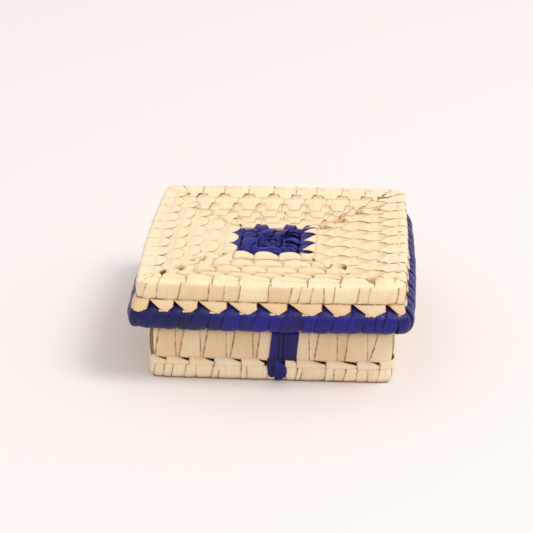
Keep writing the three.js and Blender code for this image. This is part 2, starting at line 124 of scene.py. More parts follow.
class Row(NamedTuple):
    """One row of points across a strip of leaf.

    `out` and `up` are its place in the coil's section, `near` and `far` the part of the stitch that the
    strip covers there, `tilt` how much higher its far edge lies than its near one, `lean` how far it is
    pushed along the round, `relief` how strongly its lap and crown show, `pale` how much paler than the
    rest the leaf is painted there, as painted light on faces that look up, and `hollow` how much
    painted shade it gets for lying in a hollow between stitches.
    """

    out: float
    up: float
    near: float = 0.0
    far: float = 1.0
    tilt: float = 0.0
    lean: float = 0.0
    relief: float = 1.0
    pale: float = 0.0
    hollow: float = 0.0


@dataclass(frozen=True)
class Pass:
    """The path of one pass of leaf round its coil, as rows from one end to the other."""

    rows: tuple[Row, ...]
    lap: float = 0.34
    crown: float = 0.22
    thickness: float = 0.26
    overlap: float = 0.5


class Pit(NamedTuple):
    """A place where the rounds of the lid stand apart."""

    x: float
    y: float
    radius: float
    depth: float


def shown(name: str, data: bpy.types.ID) -> bpy.types.Object:
    """Makes an object and links it to the scene.

    Args:
        name: The object's name.
        data: Its mesh, light or camera.

    Returns:
        The object.
    """
    thing = bpy.data.objects.new(name, data)
    bpy.context.scene.collection.objects.link(thing)
    return thing


@dataclass
class StripMesh:
    """Gathers strips of leaf as thin closed slabs, and makes one Blender object of them.

    No point lies below `lowest`, and `layers` holds two numbers for each point under each name.
    """

    name: str
    seed: int
    lowest: float = -math.inf
    points: list[np.ndarray] = field(default_factory=list)
    faces: list[np.ndarray] = field(default_factory=list)
    layers: dict[str, list[np.ndarray]] = field(default_factory=lambda: {label: [] for label in LAYERS})
    count: int = 0

    def __post_init__(self) -> None:
        """Starts the piece's own row of chance numbers."""
        self.rng = np.random.default_rng(SEED + self.seed)

    def add(self, grid: np.ndarray, lifts: np.ndarray, thickness: float, tone: float | None = None,
            green: float = 0.0, pale: np.ndarray | float = 0.0, painted_shade: np.ndarray | float = 0.0) -> None:
        """Adds one strip.

        Args:
            grid: Points of the strip's underlying surface, rows along it and columns across it.
            lifts: How far each point stands off that surface.
            thickness: The leaf's thickness.
            tone: How dark the leaf is, from 0 to 1, or None to leave that to chance.
            green: How green the leaf is, from 0 to 1.
            pale: How much paler the leaf is painted at each row, as painted light on faces that look up,
            from 0 to 1.
            painted_shade: How much painted shade each point gets in a hollow or hole between rounds,
            from 0 to 1.
        """
        normal = np.cross(np.gradient(grid, axis=0), np.gradient(grid, axis=1))
        normal /= np.maximum(np.linalg.norm(normal, axis=-1, keepdims=True), 1e-9)
        top = grid + normal * lifts[..., None]
        points = np.concatenate([top.reshape(-1, 3), (top - normal * thickness).reshape(-1, 3)])
        points[:, 2] = np.maximum(points[:, 2], self.lowest)
        rows, columns = grid.shape[:2]
        index = np.arange(rows * columns).reshape(rows, columns)
        self.points.append(points)
        self.faces.append(self._slab(index, index + rows * columns) + self.count)
        self.count += len(points)
        middle = grid[:, columns // 2]
        u = np.cumsum(np.linalg.norm(np.diff(grid, axis=1, prepend=grid[:, :1]), axis=-1), axis=1)
        v = np.cumsum(np.linalg.norm(np.diff(middle, axis=0, prepend=middle[:1]), axis=-1))[:, None]
        width = u[:, -1:]
        even_u = u / np.maximum(width, 1e-6) * max(float(width.mean()), 1.0)
        offset = self.rng.uniform(0, LEAF_REACH, 2)
        tone = float(self.rng.uniform()) if tone is None else tone
        tones = np.reshape(tone * (1 - np.asarray(pale)), (-1, 1))
        on_leaf = (even_u + offset[0], v + offset[1])
        from_edge = (np.minimum(u, width - u), v)
        for label, pair in zip(LAYERS, (on_leaf, from_edge, (tones, green), (painted_shade, 0.0))):
            values = [np.broadcast_to(part, (rows, columns)).reshape(-1) for part in pair]
            self.layers[label].append(np.tile(np.stack(values, axis=-1), (2, 1)))

    @staticmethod
    def _slab(top: np.ndarray, under: np.ndarray) -> np.ndarray:
        """Closes a slab on all sides.

        Args:
            top: Numbers of the points on its top, rows along it and columns across it.
            under: The same for its underside.

        Returns:
            Its faces, as the numbers of four points each.
        """
        sides = (
            (top[:-1, :-1], top[:-1, 1:], top[1:, 1:], top[1:, :-1]),
            (under[:-1, :-1], under[1:, :-1], under[1:, 1:], under[:-1, 1:]),
            (top[:-1, 0], top[1:, 0], under[1:, 0], under[:-1, 0]),
            (top[1:, -1], top[:-1, -1], under[:-1, -1], under[1:, -1]),
            (top[0, 1:], top[0, :-1], under[0, :-1], under[0, 1:]),
            (top[-1, :-1], top[-1, 1:], under[-1, 1:], under[-1, :-1]),
        )
        return np.concatenate([np.stack([corner.reshape(-1) for corner in side], axis=-1) for side in sides])

    def build(self, material: bpy.types.Material) -> bpy.types.Object:
        """Makes the Blender object.

        Args:
            material: The finish that the strips get.

        Returns:
            The new object, linked to the scene.
        """
        mesh = bpy.data.meshes.new(self.name)
        faces = np.concatenate(self.faces)
        mesh.from_pydata((np.concatenate(self.points) * METRES).tolist(), [], faces.tolist())
        for label, parts in self.layers.items():
            values = np.concatenate(parts)[faces.reshape(-1)].astype(np.float32)
            mesh.uv_layers.new(name=label).data.foreach_set("uv", values.reshape(-1))
        mesh.materials.append(material)
        mesh.polygons.foreach_set("use_smooth", np.ones(len(faces), dtype=bool))
        mesh.set_sharp_from_angle(angle=math.radians(SHARP_ANGLE))
        mesh.update()
        return shown(self.name, mesh)


@dataclass(frozen=True)
class Lay:
    """What the rounds of one coil share.

    `half` is half the width of the outermost round over its centre line, and `drift` is how far the
    middle of the coil has moved from the middle of the box.
    """

    half: float
    width: float
    spacing: float
    bow: float
    corner_radius: float
    drift: Span = (0.0, 0.0)

    def centre(self, half: float) -> np.ndarray:
        """Returns the middle of the round with that half width."""
        return np.array(self.drift) * (1 - (half / self.half) ** DRIFT_POWER)

    def seam(self, side: Side) -> float:
        """Returns how far inside the outermost round's centre line the next round ends on one side."""
        half = self.half - self.spacing / 2
        return float(self.half - half - SIDE_OUT[side.value] @ self.centre(half))


@dataclass
class Round:
    """One round of a coil, and the mesh that the strips round it go into.

    `half` is half its width over its centre line. A travel is a way along it, anticlockwise from its
    front left corner.
    """

    lay: Lay
    half: float
    mesh: StripMesh
    pits: tuple[Pit, ...] = ()

    def width_shares(self) -> np.ndarray:
        """Returns how wide the round lies on each side, as a share of its full width.

        Returns:
            The four shares.
        """
        lay = self.lay
        fading = DRIFT_POWER * (self.half / lay.half) ** (DRIFT_POWER - 1) / lay.half
        gap = lay.spacing - lay.width
        return (lay.spacing * (1 - SIDE_OUT @ np.array(lay.drift) * fading) - gap) / lay.width

    def place(self, travel: np.ndarray, out: np.ndarray, up: np.ndarray) -> np.ndarray:
        """Finds points on or near the round.

        Args:
            travel: How far each point is along it.
            out: How far each point is outside its centre line.
            up: The height of each point.

        Returns:
            The points, with x, y and z on the last axis.
        """
        lay, half = self.lay, self.half
        turn = np.floor(travel / (2 * half))
        run = travel - turn * (2 * half) - half
        side = turn.astype(int) % 4
        sign = np.where(run < 0, -1.0, 1.0)
        beside = (side + sign.astype(int)) % 4
        reaches = [min(most, half * FAN_SHARE) for most in (FAN_REACH, CORNER_REACH)]
        fanned, turned = (np.clip((np.abs(run) - (half - reach)) / reach, 0, 1) for reach in reaches)
        drawn_in = 1 - turned * (1 - math.sqrt(0.5)) * lay.corner_radius / (lay.width / 2)
        reached = np.where(out > 0, out * drawn_in, out)
        shares = self.width_shares()
        bow_share = lay.bow / lay.half
        across = half - bow_share * run**2 / half + reached * shares[side]
        along = run * (1 - bow_share * fanned) + sign * fanned * reached * shares[beside]
        flat = lay.centre(half) + SIDE_OUT[side] * across[..., None] + SIDE_ALONG[side] * along[..., None]
        return np.concatenate([flat, np.broadcast_to(up, travel.shape)[..., None]], axis=-1)

    def front(self, across: tuple[float, ...], out: float) -> list[float]:
        """Finds points of the front side that were measured straight across.

        Args:
            across: How far each point is to the right of the box's middle.
            out: How far they are outside the centre line.

        Returns:
            Their travels, which go on past a corner.
        """
        runs = np.linspace(-self.half, self.half, RUN_STEPS)
        places = self.place(self.half + runs, np.full(RUN_STEPS, out), np.zeros(RUN_STEPS))[:, 0]
        held = np.clip(across, places[0], places[-1])
        return list(self.half + (np.interp(held, places, runs) + across - held))

    def stitches(self, counts: tuple[int, ...], phase: float, jitter: float = 0.07,
                 front: list[float] | None = None) -> list[tuple[float, float, Side]]:
        """Spaces stitches evenly with a little chance, or on the front as measured.

        Args:
            counts: How many stitches each side has.
            phase: Where the first stitch of a side starts, as a share of a stitch.
            jitter: How far a stitch may be off its place, as a share of a stitch.
            front: The travels at which the front's stitches start, where they were measured.

        Returns:
            For each stitch where it starts and ends along the round, and its side.
        """
        starts = []
        for side, count in zip(Side, counts):
            steps = np.arange(count) + phase + self.mesh.rng.uniform(-jitter, jitter, count)
            places = side.value * 2 * self.half + self.half + (-self.half + steps * (2 * self.half / count))
            if front and side is Side.FRONT:
                places = front
            starts += [(start, side) for start in sorted(places)]
        ends = [start for start, _ in starts[1:]] + [starts[0][0] + 8 * self.half]
        return [(start, end, side) for (start, side), end in zip(starts, ends)]

    def wrap(self, start: float, end: float, passed: Pass, tone: float, green: float = 0.0) -> None:
        """Lays one strip round the coil.

        Args:
            start: Where along the round the stitch starts.
            end: Where it ends.
            passed: The strip's path through the coil's section.
            tone: How dark the leaf is, from 0 to 1.
            green: How green the leaf is, from 0 to 1.
        """
        out, up, near, far, tilt, lean, relief, pale, hollow = np.array(passed.rows).T[..., None]
        shares = near + (far - near) * COLUMN_SHARES
        travel = start + shares * (end - start + passed.overlap) + lean
        grid = self.place(travel, np.broadcast_to(out, travel.shape), up + tilt * (COLUMN_SHARES - 0.5))
        # Painted shade: each row's shade for lying in a hollow, raised round each pit, where the leaf is also
        # dented.
        painted_shade = hollow * np.ones(len(COLUMN_SHARES))
        for pit in self.pits:
            away = np.hypot(grid[..., 0] - pit.x, grid[..., 1] - pit.y) / pit.radius
            held = np.clip((grid[..., 2] - PIT_FLOOR) / PIT_RISE, 0, 1)
            grid[..., 2] -= pit.depth * np.exp(-(away**6)) * held
            painted_shade = np.maximum(painted_shade, np.exp(-((away / PIT_SHADE_SHARE) ** 4)))
        lift = passed.lap * (1 - COLUMN_SHARES) + passed.crown * np.sin(np.pi * COLUMN_SHARES) ** 0.7
        ripple = self.mesh.rng.normal(0, RIPPLE, grid.shape[:2])
        ripple = (ripple + np.roll(ripple, 1, axis=0) + np.roll(ripple, 1, axis=1)) / 2
        self.mesh.add(grid, lift * relief + ripple, passed.thickness, tone, green, pale[:, 0], painted_shade)


@dataclass(frozen=True)
class TipStyle:
    """How the stitches on one side of a flat coil lie on the round inside them.

    `reach` is how far onto that round a tip goes, `height` how far it stands off it, `relief` how
    strongly its lap and crown show, and `dip` how deep the crease beside it is. A round stands up by
    `crown` in its middle and falls by `valley` at its sides, `hollow` is how much painted shade it
    gets between the tips, `tilt` is how much higher the far edge of a tip lies than its near one, and
    `blend` is how smoothly a tip runs on into its own round.
    """

    shape: TipShape
    reach: float
    height: float
    relief: float
    dip: float
    crown: float
    valley: float
    hollow: float
    tilt: float = 0.0
    blend: float = 0.0

    def pillow(self, share: float) -> float:
        """Returns how high a round stands that share of the way from its middle to its side."""
        return self.crown - (self.crown + self.valley) * min(abs(share), 1.0) ** 3

    def loosened(self, rng: Generator) -> "TipStyle":
        """Returns the style with a little chance in its reach."""
        return replace(self, reach=self.reach * rng.uniform(0.92, 1.06))

    def covered(self, reach: np.ndarray) -> tuple[np.ndarray, np.ndarray]:
        """Finds how much of its stitch a tip covers.

        Args:
            reach: How far along the tip, from 0 at its free end to 1 at the crease.

        Returns:
            The shares of the stitch from which and to which it reaches.
        """
        if self.shape is TipShape.POINTED:
            return 0.06 * (1 - reach), 0.14 + 0.76 * reach
        if self.shape is TipShape.SLANTED:
            return 0.1 * (1 - reach) ** 2, 0.6 + 0.36 * np.minimum(reach * 1.3, 1.0)
        if self.shape is TipShape.ROUNDED:
            swell = (1.02 - (1 - reach) ** 2.4) ** 0.42
            return 0.48 - 0.41 * swell, 0.5 + 0.42 * swell
        return 0.2 - 0.1 * reach, 0.66 + 0.14 * reach


TIPS = {
    Side.FRONT: TipStyle(TipShape.SLANTED, reach=4.0, height=0.4, relief=1.7, dip=0.6, crown=0.9,
                         valley=0.7, hollow=1.0, tilt=0.8),
    Side.RIGHT: TipStyle(TipShape.POINTED, reach=4.3, height=0.2, relief=0.6, dip=0.25, crown=0.4,
                         valley=0.15, hollow=0.5, blend=0.4),
    Side.BACK: TipStyle(TipShape.SQUARE, reach=5.2, height=0.38, relief=0.8, dip=0.2, crown=0.35,
                        valley=0.3, hollow=0.6, blend=0.4),
    Side.LEFT: TipStyle(TipShape.ROUNDED, reach=4.7, height=0.6, relief=1.3, dip=0.1, crown=0.3,
                        valley=0.1, hollow=0.8, blend=1.0),
}

# What sets the stitches of the blue rounds apart from the others, on all sides
BLUE_TIP = dict(height=0.6, relief=1.7, dip=0.7, crown=0.7, valley=0.9, hollow=0.75, blend=0.0)


@dataclass(frozen=True)
class FlatCoilShape:
    """The section of a flat coil that stitches are laid over.

    `tip_shares` are the places along a tip and `pillow_shares` those across a round at which rows lie.
    The free end of a tip is tucked in by `tuck`, and the upper part of a stitch is painted paler by `pale`,
    as painted light on faces that look up.
    """

    top: float
    bottom: float
    spacing: float = 6.75
    tuck: float = 0.9
    pale: float = 0.6
    proud: float = 0.15
    tip_shares: tuple[float, ...] = (0.0, 0.05, 0.14, 0.3, 0.5, 0.72, 0.94)
    pillow_shares: tuple[float, ...] = (-0.86, -0.66, -0.35, 0.0, 0.35, 0.66, 0.86, 0.97)

    def upper(self, tip: TipStyle) -> list[Row]:
        """Makes the upper part of a stitch: a tip on the round inside, a crease and a pillow.

        Args:
            tip: How the stitch lies on the round inside.

        Returns:
            The rows of its path, from the tip outwards.
        """
        edge = self.spacing / 2
        steps = np.array(self.tip_shares)
        rows = []
        for step, near, far in zip(steps, *tip.covered(steps)):
            out = float(-edge - tip.reach * (1 - step) - self.proud)
            height = self.top + tip.pillow((out + self.spacing) / edge) + tip.height - self.tuck * (step == 0)
            rows.append(Row(out, height, near, far, tip.tilt, relief=tip.relief, pale=self.pale))
        raised = tip.height * tip.blend
        # Painted shade: in the crease beside the tip and over the round's outer half, where hollows lie
        # between the next round's tips.
        crease_shade = tip.hollow * (1 - tip.blend)
        plain = Row(0.0, 0.0, relief=min(tip.relief, 1.0), pale=self.pale)
        crease = self.top + self.proud - tip.dip + raised * 0.85
        rows.append(plain._replace(out=-edge, up=crease, hollow=crease_shade * 0.45))
        for share in self.pillow_shares:
            height = self.top + tip.pillow(share) + raised * max(-share, 0.0) ** 2
            outer_shade = tip.hollow * min(max((share + 0.45) / 1.1, 0.0), 1.0)
            shade = outer_shade + crease_shade * 0.4 * max(-share - 0.5, 0.0)
            rows.append(plain._replace(out=share * edge, up=height, hollow=shade))
        return rows

    def stitch(self, tip: TipStyle, **changes: float) -> Pass:
        """Makes the path of a whole stitch, with its way back under the round.

        Args:
            tip: How the stitch lies on the round inside.
            changes: Other values for the pass.

        Returns:
            The path of the strip.
        """
        edge = self.spacing / 2
        middle = (self.top + self.bottom) / 2
        back = (
            (0.95, middle), (0.8, self.bottom + 0.7), (0.4, self.bottom + 0.1), (-0.2, self.bottom),
            (-0.7, self.bottom + 0.5), (-0.92, middle - 0.8),
        )
        return Pass((*self.upper(tip), *(Row(edge * share, up) for share, up in back)), **changes)


LID_SHAPE = FlatCoilShape(top=40.8, bottom=34.7)
FLOOR_SHAPE = FlatCoilShape(top=6.0, bottom=0.3)


class NodeTree:
    """Adds shader nodes to one tree and feeds their inputs."""

    def __init__(self, tree: bpy.types.NodeTree) -> None:
        """Keeps the tree that nodes go into."""
        self.tree = tree

    def feed(self, target: Socket, value: object) -> None:
        """Gives an input its value.

        Args:
            target: The input.
            value: A socket to link it to, or a plain value.
        """
        if isinstance(value, Socket):
            self.tree.links.new(value, target)
        else:
            target.default_value = value

    def add(self, kind: str, **settings: object) -> bpy.types.Node:
        """Adds a node.

        Args:
            kind: The node's type.
            settings: Properties of the node, or its inputs by name with spaces as underscores.

        Returns:
            The node.
        """
        node = self.tree.nodes.new(kind)
        for key, value in settings.items():
            if hasattr(node, key):
                setattr(node, key, value)
            else:
                self.feed(node.inputs[key.replace("_", " ")], value)
        return node

    def math(self, operation: str, *values: object) -> Socket:
        """Works something out.

        Args:
            operation: The operation of a Math node.
            values: Two sockets or numbers.

        Returns:
            The result.
        """
        node = self.add("ShaderNodeMath", operation=operation)
        for socket, value in zip(node.inputs, values):
            self.feed(socket, value)
        return node.outputs[0]

    def plus(self, first: object, second: object) -> Socket:
        """Adds two sockets or numbers."""
        return self.math("ADD", first, second)

    def times(self, first: object, second: object) -> Socket:
        """Multiplies two sockets or numbers."""
        return self.math("MULTIPLY", first, second)

    def span(self, value: Socket, low: object, high: object, to_low: float = 0.0,
             to_high: float = 1.0) -> Socket:
        """Spreads the values from low to high smoothly over those from to_low to to_high."""
        return self.add("ShaderNodeMapRange", interpolation_type="SMOOTHSTEP", Value=value, From_Min=low,
                        From_Max=high, To_Min=to_low, To_Max=to_high).outputs["Result"]

    def mix(self, share: object, first: object, second: object) -> Socket:
        """Mixes two colours.

        Args:
            share: How much of the second colour, a socket or a number.
            first: A socket or a colour.
            second: A socket or a colour.

        Returns:
            The mixed colour.
        """
        node = self.add("ShaderNodeMix", data_type="RGBA")
        for index, value in ((0, share), (6, first), (7, second)):
            self.feed(node.inputs[index], value)
        return node.outputs[2]

    def layer(self, label: str) -> bpy.types.NodeOutputs:
        """Returns the two numbers of a mesh's layer as X and Y."""
        numbers = self.add("ShaderNodeUVMap", uv_map=label).outputs[0]
        return self.add("ShaderNodeSeparateXYZ", Vector=numbers).outputs

    def stretched(self, across: object, along: float, detail: float) -> Socket:
        """Adds a noise drawn out along the leaf.

        Args:
            across: How many turns it takes in a millimetre across the leaf.
            along: The same along the leaf.
            detail: How fine its detail goes.

        Returns:
            The noise, from 0 to 1.
        """
        leaf = self.layer("leaf")
        x, y = self.times(leaf["X"], across), self.times(leaf["Y"], along)
        place = self.add("ShaderNodeCombineXYZ", X=x, Y=y).outputs[0]
        noise = self.add("ShaderNodeTexNoise", Vector=place, Scale=1.0, Detail=detail, Roughness=0.6)
        return noise.outputs[0]


def paint(red: int, green: int, blue: int) -> Colour:
    """Turns a screen colour into the linear colour that a shader takes.

    Args:
        red: The red channel, from 0 to 255.
        green: The green one.
        blue: The blue one.

    Returns:
        The colour with its alpha.
    """
    shares = [channel / 255 for channel in (red, green, blue)]
    linear = [share / 12.92 if share <= 0.04045 else ((share + 0.055) / 1.055) ** 2.4 for share in shares]
    return (*linear, 1.0)


class LeafEffects:
    """The shader node groups that every leaf finish uses."""

    def __init__(self) -> None:
        """Builds each group once."""
        self.veins = self._veins()
        self.edges = self._edges()
        self.tone = self._tone_and_shade()
        self.wear_and_shade = self._wear_and_shade()

    @staticmethod
    def _group(name: str, inputs: dict[str, float], *outputs: str) -> tuple[NodeTree, bpy.types.NodeOutputs]:
        """Starts a group with named sockets.

        Args:
            name: The group's name.
            inputs: Names and usual values of its inputs.
            outputs: Names of its outputs.

        Returns:
            The group's nodes, and what it is given.
        """
        tree = bpy.data.node_groups.new(name, "ShaderNodeTree")
        for label, usual in inputs.items():
            socket = tree.interface.new_socket(label, in_out="INPUT", socket_type="NodeSocketFloat")
            socket.default_value = usual
        for label in outputs:
            tree.interface.new_socket(label, in_out="OUTPUT", socket_type="NodeSocketFloat")
        nodes = NodeTree(tree)
        return nodes, nodes.add("NodeGroupInput").outputs

    def _veins(self) -> bpy.types.NodeTree:
        """Builds fine parallel veins.

        Returns:
            The group: a mask of the fine ones, a mask of the broad ones, and their height.
        """
        nodes, given = self._group("leaf_veins", {"Fine Veins": 4.2, "Broad Veins": 1.1},
                                   "Fine", "Broad", "Height")
        fine = nodes.span(nodes.stretched(given["Fine Veins"], 0.06, 4.0), 0.36, 0.66)
        broad = nodes.span(nodes.stretched(given["Broad Veins"], 0.03, 2.0), 0.35, 0.65)
        height = nodes.plus(nodes.times(fine, 0.45), nodes.times(broad, 0.55))
        nodes.add("NodeGroupOutput", Fine=fine, Broad=broad, Height=height)
        return nodes.tree

    def _edges(self) -> bpy.types.NodeTree:
        """Builds the browned long edges of a strip, and the stain round the hole that it comes through.

        Returns:
            The group: a mask for each.
        """
        nodes, given = self._group("strip_edges", {"Edge Width": 0.22, "Stain Reach": 1.2}, "Edge", "Stain")
        place = nodes.layer("edge")
        ragged = nodes.stretched(0.3, 0.35, 3.0)
        patchy = nodes.span(ragged, 0.38, 0.6)
        reach = nodes.times(given["Edge Width"], nodes.plus(ragged, 0.5))
        near = nodes.span(place["X"], 0.0, reach, 1.0, 0.0)
        hole = nodes.span(place["Y"], 0.0, given["Stain Reach"], 1.0, 0.0)
        nodes.add("NodeGroupOutput", Edge=nodes.times(near, nodes.plus(nodes.times(patchy, 0.7), 0.3)),
                  Stain=nodes.times(hole, nodes.plus(nodes.times(patchy, 0.6), 0.4)))
        return nodes.tree

    def _tone_and_shade(self) -> bpy.types.NodeTree:
        """Builds the tone of each strip, with slow changes along it.

        Returns:
            The group: how dark and how green the leaf is, and how much painted shade it gets in hollows and
                holes.
        """
        nodes, given = self._group("leaf_tone_and_shade", {"Unevenness": 0.5}, "Tone", "Green", "Sunk")
        strip = nodes.layer("strip")
        slow = nodes.math("SUBTRACT", nodes.stretched(0.22, 0.12, 2.0), 0.5)
        drifted = nodes.times(slow, given["Unevenness"])
        tone = nodes.span(nodes.plus(strip["X"], drifted), 0.0, 1.0)
        green = nodes.span(nodes.plus(strip["Y"], nodes.times(drifted, 0.6)), 0.3, 0.8)
        painted_shade = nodes.times(nodes.layer("hollow")["X"], nodes.plus(slow, 1.0))
        nodes.add("NodeGroupOutput", Tone=tone, Green=green, Sunk=painted_shade)
        return nodes.tree

    def _wear_and_shade(self) -> bpy.types.NodeTree:
        """Builds scuffed patches and fine specks all over the box, and shade in its crevices.

        Returns:
            The group: a mask of the patches, of the specks, of painted shade in all crevices and of darker
            painted shade in the deep ones.
        """
        nodes, given = self._group("leaf_wear_and_shade", {"Patch Size": 9.0, "Crevice Reach": 3.2},
                                   "Scuffed", "Specks", "Shade", "Depth")
        place = nodes.add("ShaderNodeTexCoord").outputs["Object"]
        scaled = nodes.add("ShaderNodeVectorMath", operation="SCALE", Vector=place,
                           Scale=nodes.math("DIVIDE", 1000.0, given["Patch Size"])).outputs[0]
        patches = nodes.add("ShaderNodeTexNoise", Vector=scaled, Scale=1.0, Detail=4.0, Roughness=0.65)
        specks = nodes.add("ShaderNodeTexNoise", Vector=scaled, Scale=14.0, Detail=2.0, Roughness=0.5)
        # Painted shade: ambient occlusion finds the crevices, whose leaf is then painted darker.
        crevice = nodes.add("ShaderNodeAmbientOcclusion", samples=6,
                            Distance=nodes.math("DIVIDE", given["Crevice Reach"], 1000.0)).outputs["AO"]
        nodes.add("NodeGroupOutput", Scuffed=nodes.span(patches.outputs[0], 0.5, 0.72),
                  Specks=nodes.span(specks.outputs[0], 0.66, 0.74),
                  Shade=nodes.span(crevice, 0.2, 0.95, 1.0, 0.0),
                  Depth=nodes.span(crevice, 0.02, 0.34, 1.0, 0.0))
        return nodes.tree


@dataclass(frozen=True)
class LeafFinish:
    """A finish of leaf: its colours, how its veins lie and how it shines."""

    name: str
    slot: str
    light: Colour
    deep: Colour
    vein: Colour
    green: Colour
    browned: Colour
    scuffed: Colour
    vein_share: float = 0.35
    edge_share: float = 0.8
    scuff_share: float = 0.3
    speck_share: float = 0.35
    smooth_roughness: float = 0.42
    coarse_roughness: float = 0.68
    fine_veins: float = 4.2
    edge_width: float = 0.22
    stain_reach: float = 1.0
    relief: float = 0.00011
    specular: float = 0.4
    # Painted shade: `shade` is laid in crevices and hollows and `depth` in the deepest crevices and holes,
    # each as strongly as its share.
    shade: Colour = paint(206, 152, 80)
    shade_share: float = 0.95
    depth: Colour = paint(92, 48, 18)
    deep_shade_share: float = 0.9

    def material(self, effects: LeafEffects) -> bpy.types.Material:
        """Builds the finish's material.

        Args:
            effects: The node groups for leaf.

        Returns:
            The material.
        """
        material = bpy.data.materials.new(self.name)
        material.use_nodes = True
        material.node_tree.nodes.clear()
        nodes = NodeTree(material.node_tree)
        veins = nodes.add("ShaderNodeGroup", node_tree=effects.veins, Fine_Veins=self.fine_veins).outputs
        edges = nodes.add("ShaderNodeGroup", node_tree=effects.edges, Edge_Width=self.edge_width,
                          Stain_Reach=self.stain_reach).outputs
        tone = nodes.add("ShaderNodeGroup", node_tree=effects.tone).outputs
        wear_and_shade = nodes.add("ShaderNodeGroup", node_tree=effects.wear_and_shade).outputs
        colour = nodes.mix(tone["Tone"], self.light, self.deep)
        # Painted shade of the deepest hollows and holes, laid in dark brown.
        deep_painted_shade = nodes.span(tone["Sunk"], 0.7, 1.1)
        layers = (
            (tone["Green"], 1.0, self.green),
            (nodes.plus(veins["Fine"], veins["Broad"]), self.vein_share / 2, self.vein),
            (nodes.times(wear_and_shade["Scuffed"], veins["Fine"]), self.scuff_share, self.scuffed),
            (nodes.math("MAXIMUM", edges["Edge"], edges["Stain"]), self.edge_share, self.browned),
            (wear_and_shade["Specks"], self.speck_share, self.vein),
            # Painted shade: ochre in crevices, hollows and holes, and dark brown in the deepest of them.
            (nodes.math("MAXIMUM", wear_and_shade["Shade"], tone["Sunk"]), self.shade_share, self.shade),
            (nodes.math("MAXIMUM", wear_and_shade["Depth"], deep_painted_shade), self.deep_shade_share, self.depth),
        )
        for mask, share, layer in layers:
            colour = nodes.mix(nodes.times(mask, share), colour, layer)
        uneven = nodes.plus(nodes.times(veins["Broad"], 0.5), nodes.times(wear_and_shade["Scuffed"], 0.5))
        height = nodes.math("SUBTRACT", veins["Height"], nodes.times(edges["Edge"], 0.8))
        bump = nodes.add("ShaderNodeBump", Strength=0.8, Distance=self.relief, Height=height)
        shader = nodes.add(
            "ShaderNodeBsdfPrincipled", Base_Color=colour, Specular_IOR_Level=self.specular,
            Roughness=nodes.span(uneven, 0.0, 1.0, self.smooth_roughness, self.coarse_roughness),
            Normal=bump.outputs[0])
        nodes.add("ShaderNodeOutputMaterial", Surface=shader.outputs[0])
        return material


TOP_FINISH = LeafFinish(
    name="palm_leaf_flat", slot="natural_leaf", light=paint(251, 235, 200), deep=paint(246, 222, 178),
    vein=paint(230, 200, 154), green=paint(190, 180, 132), browned=paint(132, 74, 38),
    scuffed=paint(252, 242, 220), edge_share=0.55, edge_width=0.2,
)
# The walls' leaf is a copy of the flat coils' leaf with its own browned edges, and its deeper, pinker tone
# partly paints the shade on upright faces.
SIDE_FINISH = replace(
    TOP_FINISH, name="palm_leaf_browned", light=paint(255, 240, 203), deep=paint(240, 205, 158),
    vein=paint(226, 188, 144), green=paint(150, 140, 104), browned=paint(116, 58, 34),
    scuffed=paint(250, 232, 204), edge_share=1.0, edge_width=0.55, shade_share=0.35,
)
BLUE_FINISH = LeafFinish(
    name="blue_dyed_leaf", slot="blue_leaf", light=paint(31, 25, 138), deep=paint(13, 11, 84),
    vein=paint(12, 10, 66), green=paint(15, 23, 70), browned=paint(5, 4, 20), scuffed=paint(66, 58, 168),
    vein_share=0.5, edge_share=0.95, scuff_share=0.3, smooth_roughness=0.28, coarse_roughness=0.5,
    # Near-black painted shade for the blue leaf's crevices, hollows and holes.
    edge_width=0.34, stain_reach=0.8, specular=0.32, shade=paint(10, 9, 54), shade_share=0.65,
    depth=paint(3, 3, 16),
)
RIB_FINISH = LeafFinish(
    name="split_leaf_rib", slot="leaf_rib", light=paint(206, 172, 110), deep=paint(172, 130, 74),
    vein=paint(120, 82, 42), green=paint(150, 140, 84), browned=paint(96, 58, 28),
    scuffed=paint(226, 200, 148), vein_share=0.6, smooth_roughness=0.6, coarse_roughness=0.85, fine_veins=6.0,
)
FINISHES = {Leaf.TOP: TOP_FINISH, Leaf.SIDE: SIDE_FINISH, Leaf.BLUE: BLUE_FINISH, Leaf.RIB: RIB_FINISH}


class Palette:
    """The materials of the box, one for each finish."""

    def __init__(self) -> None:
        """Builds the materials from their finishes."""
        effects = LeafEffects()
        self.of = {leaf: finish.material(effects) for leaf, finish in FINISHES.items()}

    def dress(self, mesh: StripMesh, leaf: Leaf, body: str, *nodes: str) -> None:
        """Makes a piece of strips and gives it its place in the model.

        Args:
            mesh: The strips.
            leaf: The strips' finish.
            body: The body that the piece rides on.
            nodes: The CAD nodes that it stands for.
        """
        piece = mesh.build(self.of[leaf])
        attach(piece, body)
        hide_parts(*nodes)
        LOG.info("%s: %d strips, stands for %s", piece.name, len(mesh.points), ", ".join(nodes))


